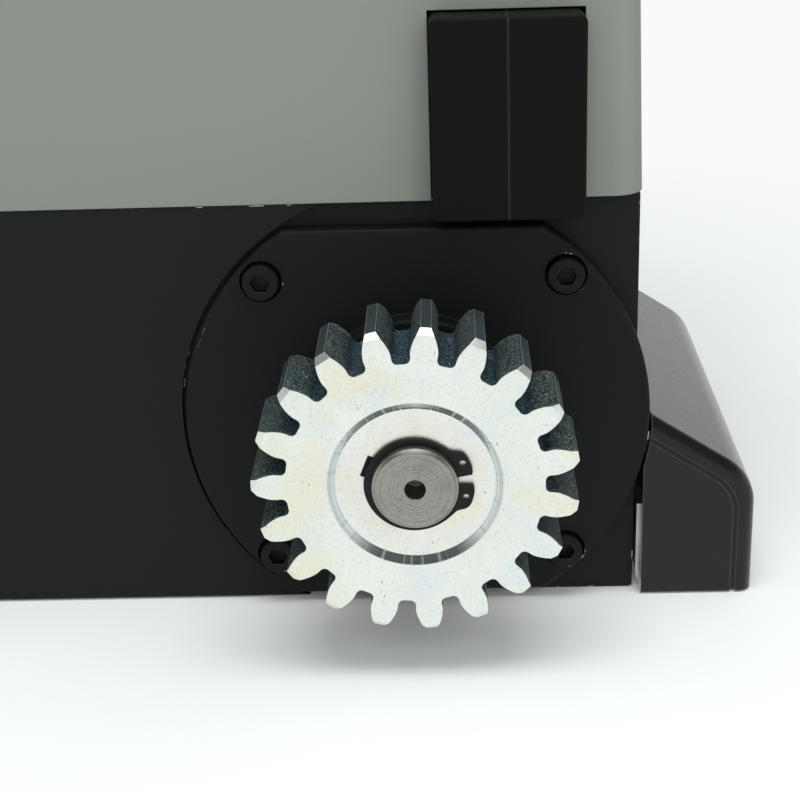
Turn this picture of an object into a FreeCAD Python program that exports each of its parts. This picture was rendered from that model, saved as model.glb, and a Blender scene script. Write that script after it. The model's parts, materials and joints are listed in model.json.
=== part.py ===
"""Sliding gate motor with a module 4 rack pinion.

Frame: millimetres, +Z up, origin at the middle of the housing's flat underside.
The pinion side, where the gate runs, looks along -Y. The release lever is on the +Y side.
"""
import FreeCAD, Part
import math
import os

Vec = FreeCAD.Vector

# ---------------------------------------------------------------- driving dimensions
# housing
housing_width = 200.0
housing_depth = 180.0
housing_height = 117.7
wall = 6.0
back_corner_r = 1.5
front_corner_r = 4.0
tray_corner_r = 5.0
bottom_edge_r = 1.3

# output line: shaft, pinion, cover plate
shaft_offset = 39.0
shaft_height = 56.3
pinion_standout = 46.5
pinion_module = 4.0
pinion_teeth = 19
pressure_angle = 20.0
pinion_face = 25.0
pinion_phase = 5.11
pinion_chamfer = 1.6
pinion_root_fillet = 1.5
recess_outer_r = 22.5
recess_inner_r = 20.5
recess_depth = 1.5
nose_r = 11.0
nose_standout = 2.6
nose_chamfer = 0.8
centre_hole_r = 2.75
key_width = 6.0
key_depth_shaft = 3.5
key_depth_hub = 2.9
key_angle = -68.0
clip_thickness = 1.2
clip_wire = 2.6
plate_r = 64.4
plate_rise = 0.5
plate_flat_half = 54.2
plate_thickness = 5.4
plate_edge_r = 1.0
pocket_r = 65.6
pocket_depth = 2.7
boss_r = 31.0
boss_height = 5.8
plate_screw_pitch = 82.0
plate_screw_length = 18.0
chamber_r = 51.0

# worm gear
worm_module = 3.0
worm_teeth = 30
worm_pitch_r = 15.0
worm_length = 62.0
worm_backlash = 0.7
wheel_face = 22.0
hub_standout = 5.0
wheel_end_gap = 1.7
motor_side_gap = 7.0
rim_inner_r = 36.0

# clutch and release
clutch_travel = 6.0
dog_count = 6
dog_length = 5.0
clutch_r = 24.0
clutch_width = 16.0
rod_r = 4.0
lever_standout = 16.0
lever_length = 88.0
lever_width = 22.0
lever_thickness = 12.0
lever_swing = 90.0
cam_r = 8.0

# motor
stator_r = 48.0
stator_stack = 56.0
rotor_r = 27.0
air_gap = 0.4

# cover
cover_height = 144.3
cover_wall = 3.0
cover_overhang = 0.9
cover_draft = 4.0
cover_lift = 0.25
apron_gap = 0.5
front_bulge = 24.0

# side feet
foot_plate = 3.0
foot_flange_height = 26.6
foot_flange_gap = 0.9
foot_cover_gap = 2.0
foot_cover_standout = 2.0
foot_cover_height = 57.5
foot_cover_wall = 3.0
foot_cover_length = 138.0
foot_half_width = 134.0
foot_roof_slope = 33.0
foot_knee_r = 16.0
foot_lip_height = 18.0
foot_slot_pitch = 70.0
foot_slot_r = 4.5
foot_slot_length = 20.0

# output shaft
seat_r = 12.5
shoulder_r = 16.0
spline_r = 15.0
wheel_seat_r = 14.0
tail_r = 10.0

# shaft seal and front bearing
seal_width = 7.0
front_bearing_width = 15.0
front_bearing_r = 26.0
seal_r = 21.0
shoulder_width = 3.0

# clutch and rear bearing
clutch_gap = 0.5
tail_bearing_width = 14.0
tail_bearing_r = 23.5
pin_r = 3.0

# dogs, rod and spring
dog_half_angle = 14.0
dog_inner_r = 18.5
rod_tip_gap = 0.8
spring_wire = 2.0
spring_turns = 2
spring_r = 19.5
sleeve_recess = 2.0

# worm gear
bush_r = 17.0

# worm and motor bearings
lower_bearing_z = 9.0
lower_bearing_width = 11.0
lower_bearing_r = 17.5
lower_journal_r = 7.5
upper_bearing_width = 12.0
upper_bearing_r = 20.0
upper_journal_r = 8.5
top_bearing_width = 11.0

# motor
tie_bolt_r = 2.5
flange_screw_reach = 34.0

# limit block, cable entry and screws
block_width = 39.7
block_height = 52.0
tongue_depth = 28.0
entry_r = 16.0
bracket_screw_z = 17.0
cover_screw_x = 82.0
cover_screw_z = 22.0

# cover
apron_low_z = 1.0

# foot brackets
catch_z = 11.0
catch_half = 5.0

# foot covers
foot_roof_r = 4.0
foot_low_z = 0.4

# release lever
lug_height = 6.0
lug_r = 7.0
pivot_r = 4.0
cam_half = 5.0

# key lock
barrel_r = 8.0

# electrics
capacitor_r = 17.5
capacitor_height = 72.0
capacitor_clip_r = 18.7
capacitor_clip_height = 22.0
transformer_x = -30.0
transformer_width = 48.0
transformer_depth = 24.0
transformer_height = 40.0
transformer_foot = 8.0
carrier_half = 85.0
carrier_thickness = 2.5
board_half = 80.0
board_height = 92.0
board_thickness = 1.6
board_screw_x = 75.0
board_screw_z = (22.0, 88.0)
terminal_pitch = 5.08

# clearances
running_gap = 0.05
thread_gap = 0.05
seat_gap = 0.2
slide_gap = 0.1

# ---------------------------------------------------------------- derived places
half_w = housing_width / 2
back_y = -housing_depth / 2
front_y = housing_depth / 2
shaft_x = shaft_offset
shaft_z = shaft_height
floor_y = back_y + pocket_depth
plate_front_y = floor_y - plate_thickness
boss_front_y = plate_front_y - boss_height
pinion_front_y = back_y - pinion_standout
pinion_back_y = pinion_front_y + pinion_face
recess_y = pinion_front_y + recess_depth
nose_y = pinion_front_y - nose_standout
wheel_y = back_y + motor_side_gap + stator_r
chamber_end_y = wheel_y + wheel_face / 2 + hub_standout + wheel_end_gap
worm_x = shaft_x - (worm_pitch_r + worm_module * worm_teeth / 2)
worm_y = wheel_y
deck_z = housing_height
cover_top = deck_z + cover_height
lever_pivot_y = front_y + lever_standout
foot_front_y = back_y - foot_cover_standout
foot_back_y = foot_front_y + foot_cover_length

# output shaft
pinion_pitch_r = pinion_module * pinion_teeth / 2
pinion_tip_r = pinion_pitch_r + pinion_module
pinion_root_r = pinion_pitch_r - 1.25 * pinion_module

# shaft seal and front bearing
seal_seat_y = boss_front_y + seal_width + 0.5
front_bearing_y = seal_seat_y
shoulder_y = front_bearing_y + front_bearing_width

# clutch and rear bearing
wheel_front_y = wheel_y - wheel_face / 2
wheel_back_y = wheel_y + wheel_face / 2
clutch_back_y = wheel_front_y - clutch_gap
clutch_front_y = clutch_back_y - clutch_width
hub_back_y = wheel_back_y + hub_standout
tail_bearing_y = chamber_end_y
tail_end_y = tail_bearing_y + tail_bearing_width + 2.0
pin_y = clutch_front_y + 6.0
rod_inner_y = pin_y - pin_r - 2.0

# key
key_front_y = recess_y + 0.6
key_back_y = pinion_back_y - 2.0

# worm gear
wheel_pitch_r = worm_module * worm_teeth / 2
wheel_tip_r = wheel_pitch_r + worm_module
wheel_root_r = wheel_pitch_r - 1.2 * worm_module
lead = math.pi * worm_module
worm_tip_r = worm_pitch_r + worm_module
worm_root_r = worm_pitch_r - 1.2 * worm_module

# worm and motor bearings
upper_bearing_z = deck_z - 25.7
stator_z = deck_z + 18.0
stator_top_z = stator_z + stator_stack
top_bearing_z = stator_top_z + 14.0

# motor
tie_bolt_reach = stator_r + 3.5
winding_inner_r = rotor_r + 3.0
winding_outer_r = stator_r - 7.0
flange_top_z = stator_z
shield_top_z = top_bearing_z + top_bearing_width + 4.0
flange_screw_seat_z = deck_z + 3.5

# limit block, cable entry and screws
block_x = shaft_x + 25.65
block_bottom_z = deck_z - 2.7
block_front_y = back_y - 11.5
entry_x = 40.0 - half_w
entry_y = front_y - 40.0
bracket_screw_y = (back_y + 30.0, back_y + 100.0)
release_screw_places = [(shaft_x + 24, shaft_z - 20), (shaft_x + 24, shaft_z + 20),
                        (shaft_x - 80, shaft_z - 12), (shaft_x - 80, shaft_z + 12)]

# housing
gearcase_end_y = chamber_end_y + tail_bearing_width + 5.0
plate_screw_seat_y = plate_front_y + 4.2

# cover
cover_base_z = deck_z + cover_lift
cover_half_w = half_w + cover_overhang
cover_back_y = back_y - 0.4
cover_front_y = front_y + front_bulge
cover_screw_seat_y = front_y + 6.0

# foot brackets
foot_y0 = foot_front_y + foot_cover_wall + 1.5
foot_y1 = foot_back_y - foot_cover_wall - 6.0
foot_mid_y = back_y + 65.0
foot_slot_x = half_w + 17.0
foot_lip_x = foot_half_width - foot_cover_wall - seat_gap

# release lever
lever_half = lever_width / 2
hub_r = cam_r

# key lock
barrel_place = (shaft_x - 48.0, shaft_z)

# electrics
tray_y = gearcase_end_y
carrier_y = front_y - wall - 34.0
board_y = carrier_y + 8.0
board_low_z = deck_z + 6.0
post_x = half_w - wall - 5.0
post_top_z = housing_height - 12.0
board_face_y = board_y + board_thickness
capacitor_x = (worm_x - half_w - upper_bearing_r - 2) / 2
capacitor_y = back_y + 36

nodes = {}


# ---------------------------------------------------------------- small tools
def box(x0, x1, y0, y1, z0, z1):
    """Block between two corners."""
    return Part.makeBox(x1 - x0, y1 - y0, z1 - z0, Vec(x0, y0, z0))


def rod_y(radius, y0, y1, x=shaft_x, z=shaft_z):
    """Round bar along Y, on the output axis unless told otherwise."""
    return Part.makeCylinder(radius, y1 - y0, Vec(x, y0, z), Vec(0, 1, 0))


def rod_z(radius, z0, z1, x, y):
    """Upright round bar."""
    return Part.makeCylinder(radius, z1 - z0, Vec(x, y, z0), Vec(0, 0, 1))


def rod_x(radius, x0, x1, y, z):
    """Round bar along X."""
    return Part.makeCylinder(radius, x1 - x0, Vec(x0, y, z), Vec(1, 0, 0))


def turned(profile, axis="z", at=(0.0, 0.0)):
    """Solid of revolution of a closed (radius, height) outline, about a line along axis.

    at is (x, y) for a line along Z and (x, z) for a line along Y."""
    points = [Vec(r, 0, h) for r, h in profile]
    face = Part.Face(Part.makePolygon(points + points[:1]))
    solid = face.revolve(Vec(0, 0, 0), Vec(0, 0, 1), 360)
    if axis == "y":
        solid.rotate(Vec(0, 0, 0), Vec(1, 0, 0), -90)
        solid.translate(Vec(at[0], 0, at[1]))
    else:
        solid.translate(Vec(at[0], at[1], 0))
    return solid


def prism_y(points, y0, y1):
    """Closed (x, z) outline pushed along Y."""
    loop = [Vec(x, y0, z) for x, z in points]
    return Part.Face(Part.makePolygon(loop + loop[:1])).extrude(Vec(0, y1 - y0, 0))


def prism_z(points, z0, z1):
    """Closed (x, y) outline pushed along Z."""
    loop = [Vec(x, y, z0) for x, y in points]
    return Part.Face(Part.makePolygon(loop + loop[:1])).extrude(Vec(0, 0, z1 - z0))


def hex_points(across_flats):
    corner = across_flats / 2 / math.cos(math.pi / 6)
    return [(corner * math.cos(math.pi / 3 * k), corner * math.sin(math.pi / 3 * k)) for k in range(6)]


def cap_screw(size, length, at, way):
    """Socket cap screw: at is the centre under its head, way points from the head to the tip."""
    head_r = size * 5 / 6
    head = Part.makeCylinder(head_r, size, Vec(0, 0, -size))
    head = head.makeFillet(size * 0.08, [e for e in head.Edges if abs(e.BoundBox.ZMin + size) < 1e-6
                                         and e.BoundBox.ZLength < 1e-6])
    shank = Part.makeCylinder(size / 2 - thread_gap, length, Vec(0, 0, 0))
    socket = prism_z(hex_points(size * 5 / 6), -size, -size / 2)
    screw = head.fuse(shank).removeSplitter().cut(socket)
    turn = FreeCAD.Rotation(Vec(0, 0, 1), Vec(*way))
    screw.Placement = FreeCAD.Placement(Vec(*at), turn)
    return screw


def screw_hole(size, depth, at, way):
    return Part.makeCylinder(size / 2, depth, Vec(*at), Vec(*way))


def group(solids):
    """Separate solids of one node."""
    return Part.makeCompound(solids)


def mirrored(shape):
    """The same piece on the other side of the housing."""
    return shape.mirror(Vec(0, 0, 0), Vec(1, 0, 0))


def edges_where(shape, test):
    """Edges whose bounding box passes a test."""
    return [e for e in shape.Edges if test(e.BoundBox)]


def bearing(bore_r, outer_r, width, start, axis, at):
    """Shielded ball bearing: the outer ring with its two shields, and the inner ring."""
    step = (outer_r - bore_r) / 4
    inner_edge = bore_r + step
    outer_edge = outer_r - step
    shield = width * 0.08
    groove = step * 0.45
    mid = start + width / 2
    end = start + width
    gap = 0.25
    outer = turned([
        (inner_edge + gap, start), (outer_r, start), (outer_r, end), (inner_edge + gap, end),
        (inner_edge + gap, end - shield), (outer_edge, end - shield), (outer_edge, mid + width * 0.2),
        (outer_edge + groove, mid), (outer_edge, mid - width * 0.2), (outer_edge, start + shield),
        (inner_edge + gap, start + shield)], axis, at)
    inner = turned([
        (bore_r, start), (inner_edge, start), (inner_edge, mid - width * 0.2), (inner_edge - groove, mid),
        (inner_edge, mid + width * 0.2), (inner_edge, end), (bore_r, end)], axis, at)
    return outer, inner


# ---------------------------------------------------------------- gear teeth
def involute_point(base_r, turn):
    """Point of the involute of a circle, unrolled by turn radians: (radius, polar angle)."""
    radius = base_r * math.hypot(1, turn)
    return radius, turn - math.atan(turn)


def tooth_edges(module, teeth, root_r, tip_r, fillet_r, backlash, centre, place):
    """Edges of one involute tooth and the root arc before it.

    centre is the tooth's polar angle in radians, and place maps (radius, angle) to a point."""
    pitch_r = module * teeth / 2
    alpha = math.radians(pressure_angle)
    base_r = pitch_r * math.cos(alpha)
    half_pitch = math.pi / (2 * teeth) - backlash / (4 * pitch_r)
    half_base = half_pitch + math.tan(alpha) - alpha
    low_turn = 0.02
    high_turn = math.sqrt((tip_r / base_r) ** 2 - 1)
    steps = 6
    turns = [low_turn + (high_turn - low_turn) * k / steps for k in range(steps + 1)]
    flank = [involute_point(base_r, t) for t in turns]
    low_r, low_a = flank[0]
    gap_half = math.pi / teeth - (half_base - low_a)
    swing = math.asin(fillet_r / (root_r + fillet_r))
    meet_r = (root_r + fillet_r) * math.cos(swing)
    hub = (root_r + fillet_r, gap_half - swing)

    def left(radius, inset):
        return place(radius, centre - half_base + inset)

    def right(radius, inset):
        return place(radius, centre + half_base - inset)

    valley = centre - math.pi / teeth
    edge_a = valley - (gap_half - swing)
    edge_b = valley + (gap_half - swing)

    def fillet_mid(side):
        """Middle of the root fillet on one side of the valley (side is -1 or +1)."""
        bend = (math.pi / 2 - swing) / 2
        local = (hub[0] - fillet_r * math.cos(bend), fillet_r * math.sin(bend))
        return place(math.hypot(*local), valley + side * (hub[1] + math.atan2(local[1], local[0])))

    root_a = place(root_r, edge_a)
    root_b = place(root_r, edge_b)
    meet_b = left(meet_r, low_a)
    last_meet = place(meet_r, valley - gap_half)
    rise = Part.BSplineCurve()
    rise.interpolate([left(r, a) for r, a in flank])
    fall = Part.BSplineCurve()
    fall.interpolate([right(r, a) for r, a in reversed(flank)])
    return [
        Part.Arc(last_meet, fillet_mid(-1), root_a).toShape(),
        Part.Arc(root_a, place(root_r, valley), root_b).toShape(),
        Part.Arc(root_b, fillet_mid(1), meet_b).toShape(),
        Part.LineSegment(meet_b, left(low_r, low_a)).toShape(),
        rise.toShape(),
        Part.Arc(left(*flank[-1]), place(tip_r, centre), right(*flank[-1])).toShape(),
        fall.toShape(),
        Part.LineSegment(right(low_r, low_a), right(meet_r, low_a)).toShape(),
    ]


def gear_wire(module, teeth, root_r, tip_r, fillet_r, backlash, first, y):
    """Closed outline of a whole gear in the plane y, first tooth at first degrees clockwise from +Z."""
    def place(radius, angle):
        return Vec(shaft_x + radius * math.sin(angle), y, shaft_z + radius * math.cos(angle))

    edges = []
    for k in range(teeth):
        centre = math.radians(first) + 2 * math.pi * k / teeth
        edges += tooth_edges(module, teeth, root_r, tip_r, fillet_r, backlash, centre, place)
    return Part.Wire(edges)


# ---------------------------------------------------------------- pinion and output shaft


def turn_about_shaft(shape, degrees):
    """Turn clockwise as seen from the pinion side."""
    shape.rotate(Vec(shaft_x, 0, shaft_z), Vec(0, 1, 0), degrees)
    return shape


def key_slot(depth, outward, y0, y1, width=key_width):
    """Block for a key or its slot: from the shaft's skin inwards by depth and outwards by outward."""
    block = box(shaft_x - width / 2, shaft_x + width / 2, y0, y1,
                shaft_z + nose_r - depth, shaft_z + nose_r + outward)
    return turn_about_shaft(block, key_angle)


def make_pinion():
    """Involute pinion with its keyway, bored for the shaft, its front face turned out."""
    outline = gear_wire(pinion_module, pinion_teeth, pinion_root_r, pinion_tip_r, pinion_root_fillet,
                        0.0, pinion_phase, pinion_front_y)
    body = Part.Face(outline).extrude(Vec(0, pinion_face, 0))
    rim_r = pinion_tip_r - pinion_chamfer
    blank = turned([
        (nose_r, recess_y), (recess_inner_r, recess_y), (recess_outer_r, pinion_front_y),
        (rim_r, pinion_front_y), (pinion_tip_r + 0.2, pinion_front_y + pinion_chamfer + 0.2),
        (pinion_tip_r + 0.2, pinion_back_y - pinion_chamfer - 0.2), (rim_r, pinion_back_y),
        (nose_r, pinion_back_y)], "y", (shaft_x, shaft_z))
    body = body.common(blank)
    return body.cut(key_slot(0.5, key_depth_hub, recess_y - 1, pinion_back_y + 1))


def make_output_shaft():
    """Stepped output shaft with keyway, circlip groove, splines and release bore."""
    groove_front = recess_y - clip_thickness - 0.1
    outline = [
        (centre_hole_r, nose_y), (nose_r - nose_chamfer, nose_y), (nose_r, nose_y + nose_chamfer),
        (nose_r, groove_front), (nose_r - 0.5, groove_front), (nose_r - 0.5, recess_y),
        (nose_r, recess_y), (nose_r, pinion_back_y), (seat_r, pinion_back_y), (seat_r, shoulder_y),
        (shoulder_r, shoulder_y), (shoulder_r, shoulder_y + shoulder_width),
        (seat_r, shoulder_y + shoulder_width), (seat_r, clutch_back_y), (wheel_seat_r, clutch_back_y),
        (wheel_seat_r, hub_back_y), (tail_r + 2, hub_back_y), (tail_r + 2, tail_bearing_y),
        (tail_r, tail_bearing_y), (tail_r, tail_end_y), (rod_r + slide_gap, tail_end_y),
        (rod_r + slide_gap, rod_inner_y - clutch_travel - 2), (0.0, rod_inner_y - clutch_travel - 4),
        (0.0, nose_y + 10), (centre_hole_r, nose_y + 8)]
    shaft = turned(outline, "y", (shaft_x, shaft_z))
    splines = []
    for k in range(4):
        tooth = box(shaft_x - 3, shaft_x + 3, shoulder_y + shoulder_width, clutch_back_y,
                    shaft_z + seat_r - 1.5, shaft_z + spline_r)
        splines.append(turn_about_shaft(tooth, 45 + 90 * k))
    shaft = shaft.fuse(splines)
    slot_w = pin_r + slide_gap
    slot = rod_z(slot_w, shaft_z - 30, shaft_z + 30, shaft_x, pin_y)
    slot = slot.fuse(rod_z(slot_w, shaft_z - 30, shaft_z + 30, shaft_x, pin_y - clutch_travel))
    slot = slot.fuse(box(shaft_x - slot_w, shaft_x + slot_w, pin_y - clutch_travel, pin_y,
                         shaft_z - 30, shaft_z + 30))
    shaft = shaft.cut(slot)
    return shaft.cut(key_slot(key_depth_shaft, 1, key_front_y, key_back_y))


def make_circlip():
    """External retaining ring with two holed lugs, its gap towards +X."""
    inner_r = nose_r - 0.4
    outer_r = nose_r + clip_wire * 0.8
    ring = rod_y(outer_r, recess_y - clip_thickness, recess_y, shaft_x - 0.35)
    ring = ring.cut(rod_y(inner_r, recess_y - 5, recess_y + 5))
    lugs = []
    gap_half = 2.2
    for side in (-1, 1):
        lug = box(shaft_x + inner_r - 1.0, shaft_x + inner_r + 4.6, recess_y - clip_thickness, recess_y,
                  shaft_z + (gap_half if side > 0 else -gap_half - 4.0),
                  shaft_z + (gap_half + 4.0 if side > 0 else -gap_half))
        lug = lug.makeFillet(1.2, edges_where(lug, lambda b: b.YLength > 1 and b.XLength < 1e-6
                                              and b.XMin > shaft_x + inner_r + 3))
        lug = lug.cut(rod_y(nose_r + 0.02, recess_y - 5, recess_y + 5))
        lug = lug.cut(rod_y(0.95, recess_y - 5, recess_y + 5, shaft_x + inner_r + 2.6,
                            shaft_z + side * (gap_half + 2.0)))
        lugs.append(lug)
    gap = box(shaft_x, shaft_x + 40, recess_y - 5, recess_y + 5, shaft_z - gap_half, shaft_z + gap_half)
    return ring.cut(gap).fuse(lugs).removeSplitter()


def make_front_bearing():
    """Front ball bearing as two rings."""
    return bearing(seat_r, front_bearing_r, front_bearing_width, front_bearing_y, "y", (shaft_x, shaft_z))


def make_tail_bearing():
    """Rear ball bearing as two rings."""
    return bearing(tail_r, tail_bearing_r, tail_bearing_width, tail_bearing_y, "y", (shaft_x, shaft_z))


def make_shaft_seal():
    """Lip seal in the boss of the cover plate."""
    start = seal_seat_y - seal_width
    lip = seat_r + running_gap
    return turned([
        (seal_r, start), (seal_r, start + seal_width), (seal_r - 2, start + seal_width),
        (seal_r - 2, start + 2), (lip + 2.5, start + 2), (lip + 2.5, start + 5.5), (lip + 1.2, start + 5.5),
        (lip, start + 4), (lip + 0.8, start)], "y", (shaft_x, shaft_z))


# ---------------------------------------------------------------- dog clutch
def dog_sector(half_angle, inner, outer, y0, y1):
    """Dogs or pockets: dog_count ring sectors about the shaft."""
    ring = rod_y(outer, y0, y1).cut(rod_y(inner, y0 - 1, y1 + 1))
    reach = outer * 2
    wedge_x = reach * math.tan(math.radians(half_angle))
    pieces = []
    for k in range(dog_count):
        wedge = prism_y([(shaft_x, shaft_z), (shaft_x - wedge_x, shaft_z + reach),
                         (shaft_x + wedge_x, shaft_z + reach)], y0 - 1, y1 + 1)
        pieces.append(ring.common(turn_about_shaft(wedge, 360 / dog_count * k + 15)))
    return pieces


def make_clutch_sleeve():
    """Dog sleeve that slides on the splines."""
    sleeve = rod_y(clutch_r, clutch_front_y, clutch_back_y)
    sleeve = sleeve.cut(rod_y(seat_r + slide_gap, clutch_front_y - 1, clutch_back_y + 1))
    for k in range(4):
        slot = box(shaft_x - 3 - slide_gap, shaft_x + 3 + slide_gap, clutch_front_y - 1, clutch_back_y + 1,
                   shaft_z, shaft_z + spline_r + slide_gap)
        sleeve = sleeve.cut(turn_about_shaft(slot, 45 + 90 * k))
    sleeve = sleeve.fuse(dog_sector(dog_half_angle, dog_inner_r, clutch_r, clutch_back_y,
                                    clutch_back_y + dog_length))
    spring_seat = rod_y(21.5, clutch_front_y - 1, clutch_front_y + 2)
    sleeve = sleeve.cut(spring_seat.cut(rod_y(17.5, clutch_front_y - 2, clutch_front_y + 3)))
    return sleeve.cut(rod_z(pin_r, shaft_z - 40, shaft_z + 40, shaft_x, pin_y))


def make_clutch_pin():
    """Cross pin that carries the push of the rod to the sleeve."""
    return rod_z(pin_r, shaft_z - clutch_r + 1.5, shaft_z + clutch_r - 1.5, shaft_x, pin_y)


def make_release_rod():
    """Rod in the shaft from the lever's cam to the cross pin."""
    tip_y = lever_pivot_y - cam_r - rod_tip_gap
    tip_r = rod_r / 2
    rod = rod_y(rod_r, rod_inner_y, tip_y - 5)
    neck = Part.makeCone(rod_r, tip_r, 5 - tip_r, Vec(shaft_x, tip_y - 5, shaft_z), Vec(0, 1, 0))
    tip = Part.makeSphere(tip_r, Vec(shaft_x, tip_y - tip_r, shaft_z))
    rod = rod.fuse([neck, tip]).removeSplitter()
    return rod.cut(rod_z(pin_r, shaft_z - 30, shaft_z + 30, shaft_x, pin_y))


def make_clutch_spring():
    """Two-turn spring of square wire between the shaft's shoulder and the clutch sleeve."""
    half = spring_wire / 2
    start = shoulder_y + shoulder_width + half + seat_gap
    end = clutch_front_y + sleeve_recess - half - seat_gap
    section = Part.makePolygon([Vec(spring_r + a * half, 0, b * half)
                                for a, b in ((-1, -1), (1, -1), (1, 1), (-1, 1), (-1, -1))])
    path = Part.makeHelix((end - start) / spring_turns, end - start, spring_r)
    spring = Part.Wire(path).makePipeShell([section], True, True)
    spring.rotate(Vec(0, 0, 0), Vec(1, 0, 0), -90)
    spring.translate(Vec(shaft_x, start, shaft_z))
    return spring


# ---------------------------------------------------------------- worm wheel and worm


def make_wheel_rim():
    """Helical rim, cut to the worm's lead angle. A tooth space faces the worm at mid face."""
    twist = math.degrees(wheel_face / 2 * lead / (2 * math.pi * worm_pitch_r) / wheel_pitch_r)
    first = 90.0 + 180.0 / worm_teeth
    wires = []
    for side in (-1, 1):
        wires.append(gear_wire(worm_module, worm_teeth, wheel_root_r, wheel_tip_r, 0.8, worm_backlash,
                               first + side * twist, wheel_y + side * wheel_face / 2))
    body = Part.makeLoft(wires, True, True)
    bevel = 2.0
    blank = turned([
        (rim_inner_r, wheel_front_y), (wheel_tip_r - bevel, wheel_front_y),
        (wheel_tip_r + 0.2, wheel_front_y + bevel + 0.2), (wheel_tip_r + 0.2, wheel_back_y - bevel - 0.2),
        (wheel_tip_r - bevel, wheel_back_y), (rim_inner_r, wheel_back_y)], "y", (shaft_x, shaft_z))
    return body.common(blank)


def make_wheel_hub():
    """Iron hub with the dogs on its front."""
    web = wheel_face * 0.5
    hub = turned([
        (bush_r, wheel_front_y), (rim_inner_r, wheel_front_y), (rim_inner_r, wheel_back_y),
        (rim_inner_r - 4, wheel_back_y), (rim_inner_r - 5, wheel_back_y - web + 4),
        (bush_r + 7, wheel_back_y - web + 4), (bush_r + 6, hub_back_y), (bush_r, hub_back_y)],
        "y", (shaft_x, shaft_z))
    pockets = dog_sector(dog_half_angle + 1.0, dog_inner_r - 0.5, clutch_r + 0.5,
                         wheel_front_y - 1, clutch_back_y + dog_length + 0.5)
    return hub.cut(pockets)


def make_wheel_bush():
    """Bush on which the wheel runs free on the shaft."""
    return rod_y(bush_r, wheel_front_y + 0.2, hub_back_y - 0.2).cut(
        rod_y(wheel_seat_r + running_gap, wheel_front_y - 1, hub_back_y + 1))


def make_worm_shaft():
    """Motor shaft with its single-start worm cut on it."""
    top = top_bearing_z + top_bearing_width + 1.0
    core = turned([
        (0, lower_bearing_z + 0.5), (lower_journal_r, lower_bearing_z + 0.5),
        (lower_journal_r, lower_bearing_z + lower_bearing_width),
        (worm_root_r - 1.5, lower_bearing_z + lower_bearing_width),
        (worm_root_r, lower_bearing_z + lower_bearing_width + 1.5), (worm_root_r, upper_bearing_z - 3),
        (upper_journal_r + 1.5, upper_bearing_z), (upper_journal_r, upper_bearing_z),
        (upper_journal_r, stator_z - 10), (upper_journal_r - 0.5, stator_z - 10),
        (upper_journal_r - 0.5, top_bearing_z - 1), (lower_journal_r, top_bearing_z - 1),
        (lower_journal_r, top), (0, top)])
    pitch_half = lead / 4
    slope = math.tan(math.radians(pressure_angle))
    bite = 0.4
    low_half = pitch_half + (worm_pitch_r - worm_root_r + bite) * slope
    high_half = pitch_half - worm_module * slope
    section = Part.makePolygon([
        Vec(worm_root_r - bite, 0, -low_half), Vec(worm_tip_r, 0, -high_half),
        Vec(worm_tip_r, 0, high_half), Vec(worm_root_r - bite, 0, low_half),
        Vec(worm_root_r - bite, 0, -low_half)])
    turns = math.floor(worm_length / lead)
    turns = turns if turns % 2 == 0 else turns - 1
    length = turns * lead
    path = Part.makeHelix(lead, length, worm_pitch_r)
    thread = Part.Wire(path).makePipeShell([section], True, True)
    thread.translate(Vec(0, 0, shaft_z - length / 2))
    worm = core.fuse(thread)
    worm.translate(Vec(worm_x, worm_y, 0))
    return worm


def make_rotor():
    """Laminated rotor pack with cast end rings and fan blades."""
    bore = upper_journal_r - 0.5
    pack = rod_z(rotor_r, stator_z, stator_top_z, worm_x, worm_y)
    for z0, z1 in ((stator_z - 6, stator_z), (stator_top_z, stator_top_z + 6)):
        pack = pack.fuse(rod_z(rotor_r - 3, z0, z1, worm_x, worm_y))
    blades = []
    for k in range(8):
        blade = box(worm_x + rotor_r - 9, worm_x + rotor_r - 3.5, worm_y - 1, worm_y + 1,
                    stator_top_z + 5, stator_top_z + 11)
        blade.rotate(Vec(worm_x, worm_y, 0), Vec(0, 0, 1), 45 * k)
        blades.append(blade)
    pack = pack.fuse(blades)
    return pack.cut(rod_z(bore, stator_z - 20, stator_top_z + 20, worm_x, worm_y))


def make_worm_bearings():
    """Three bearings of the worm and rotor, each as two rings."""
    at = (worm_x, worm_y)
    lower = bearing(lower_journal_r, lower_bearing_r, lower_bearing_width, lower_bearing_z, "z", at)
    upper = bearing(upper_journal_r, upper_bearing_r, upper_bearing_width, upper_bearing_z, "z", at)
    top = bearing(lower_journal_r, lower_bearing_r, top_bearing_width, top_bearing_z, "z", at)
    return lower, upper, top


# ---------------------------------------------------------------- motor


def ear_places():
    """Centres of the flange ears."""
    reach = tie_bolt_reach / math.sqrt(2)
    return [(worm_x + a * reach, worm_y + b * reach) for a in (-1, 1) for b in (-1, 1)]


def flange_screw_places():
    """Centres of the motor flange's screws."""
    reach = flange_screw_reach
    return [(worm_x + reach, worm_y), (worm_x - reach, worm_y), (worm_x, worm_y + reach),
            (worm_x, worm_y - reach)]


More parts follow.
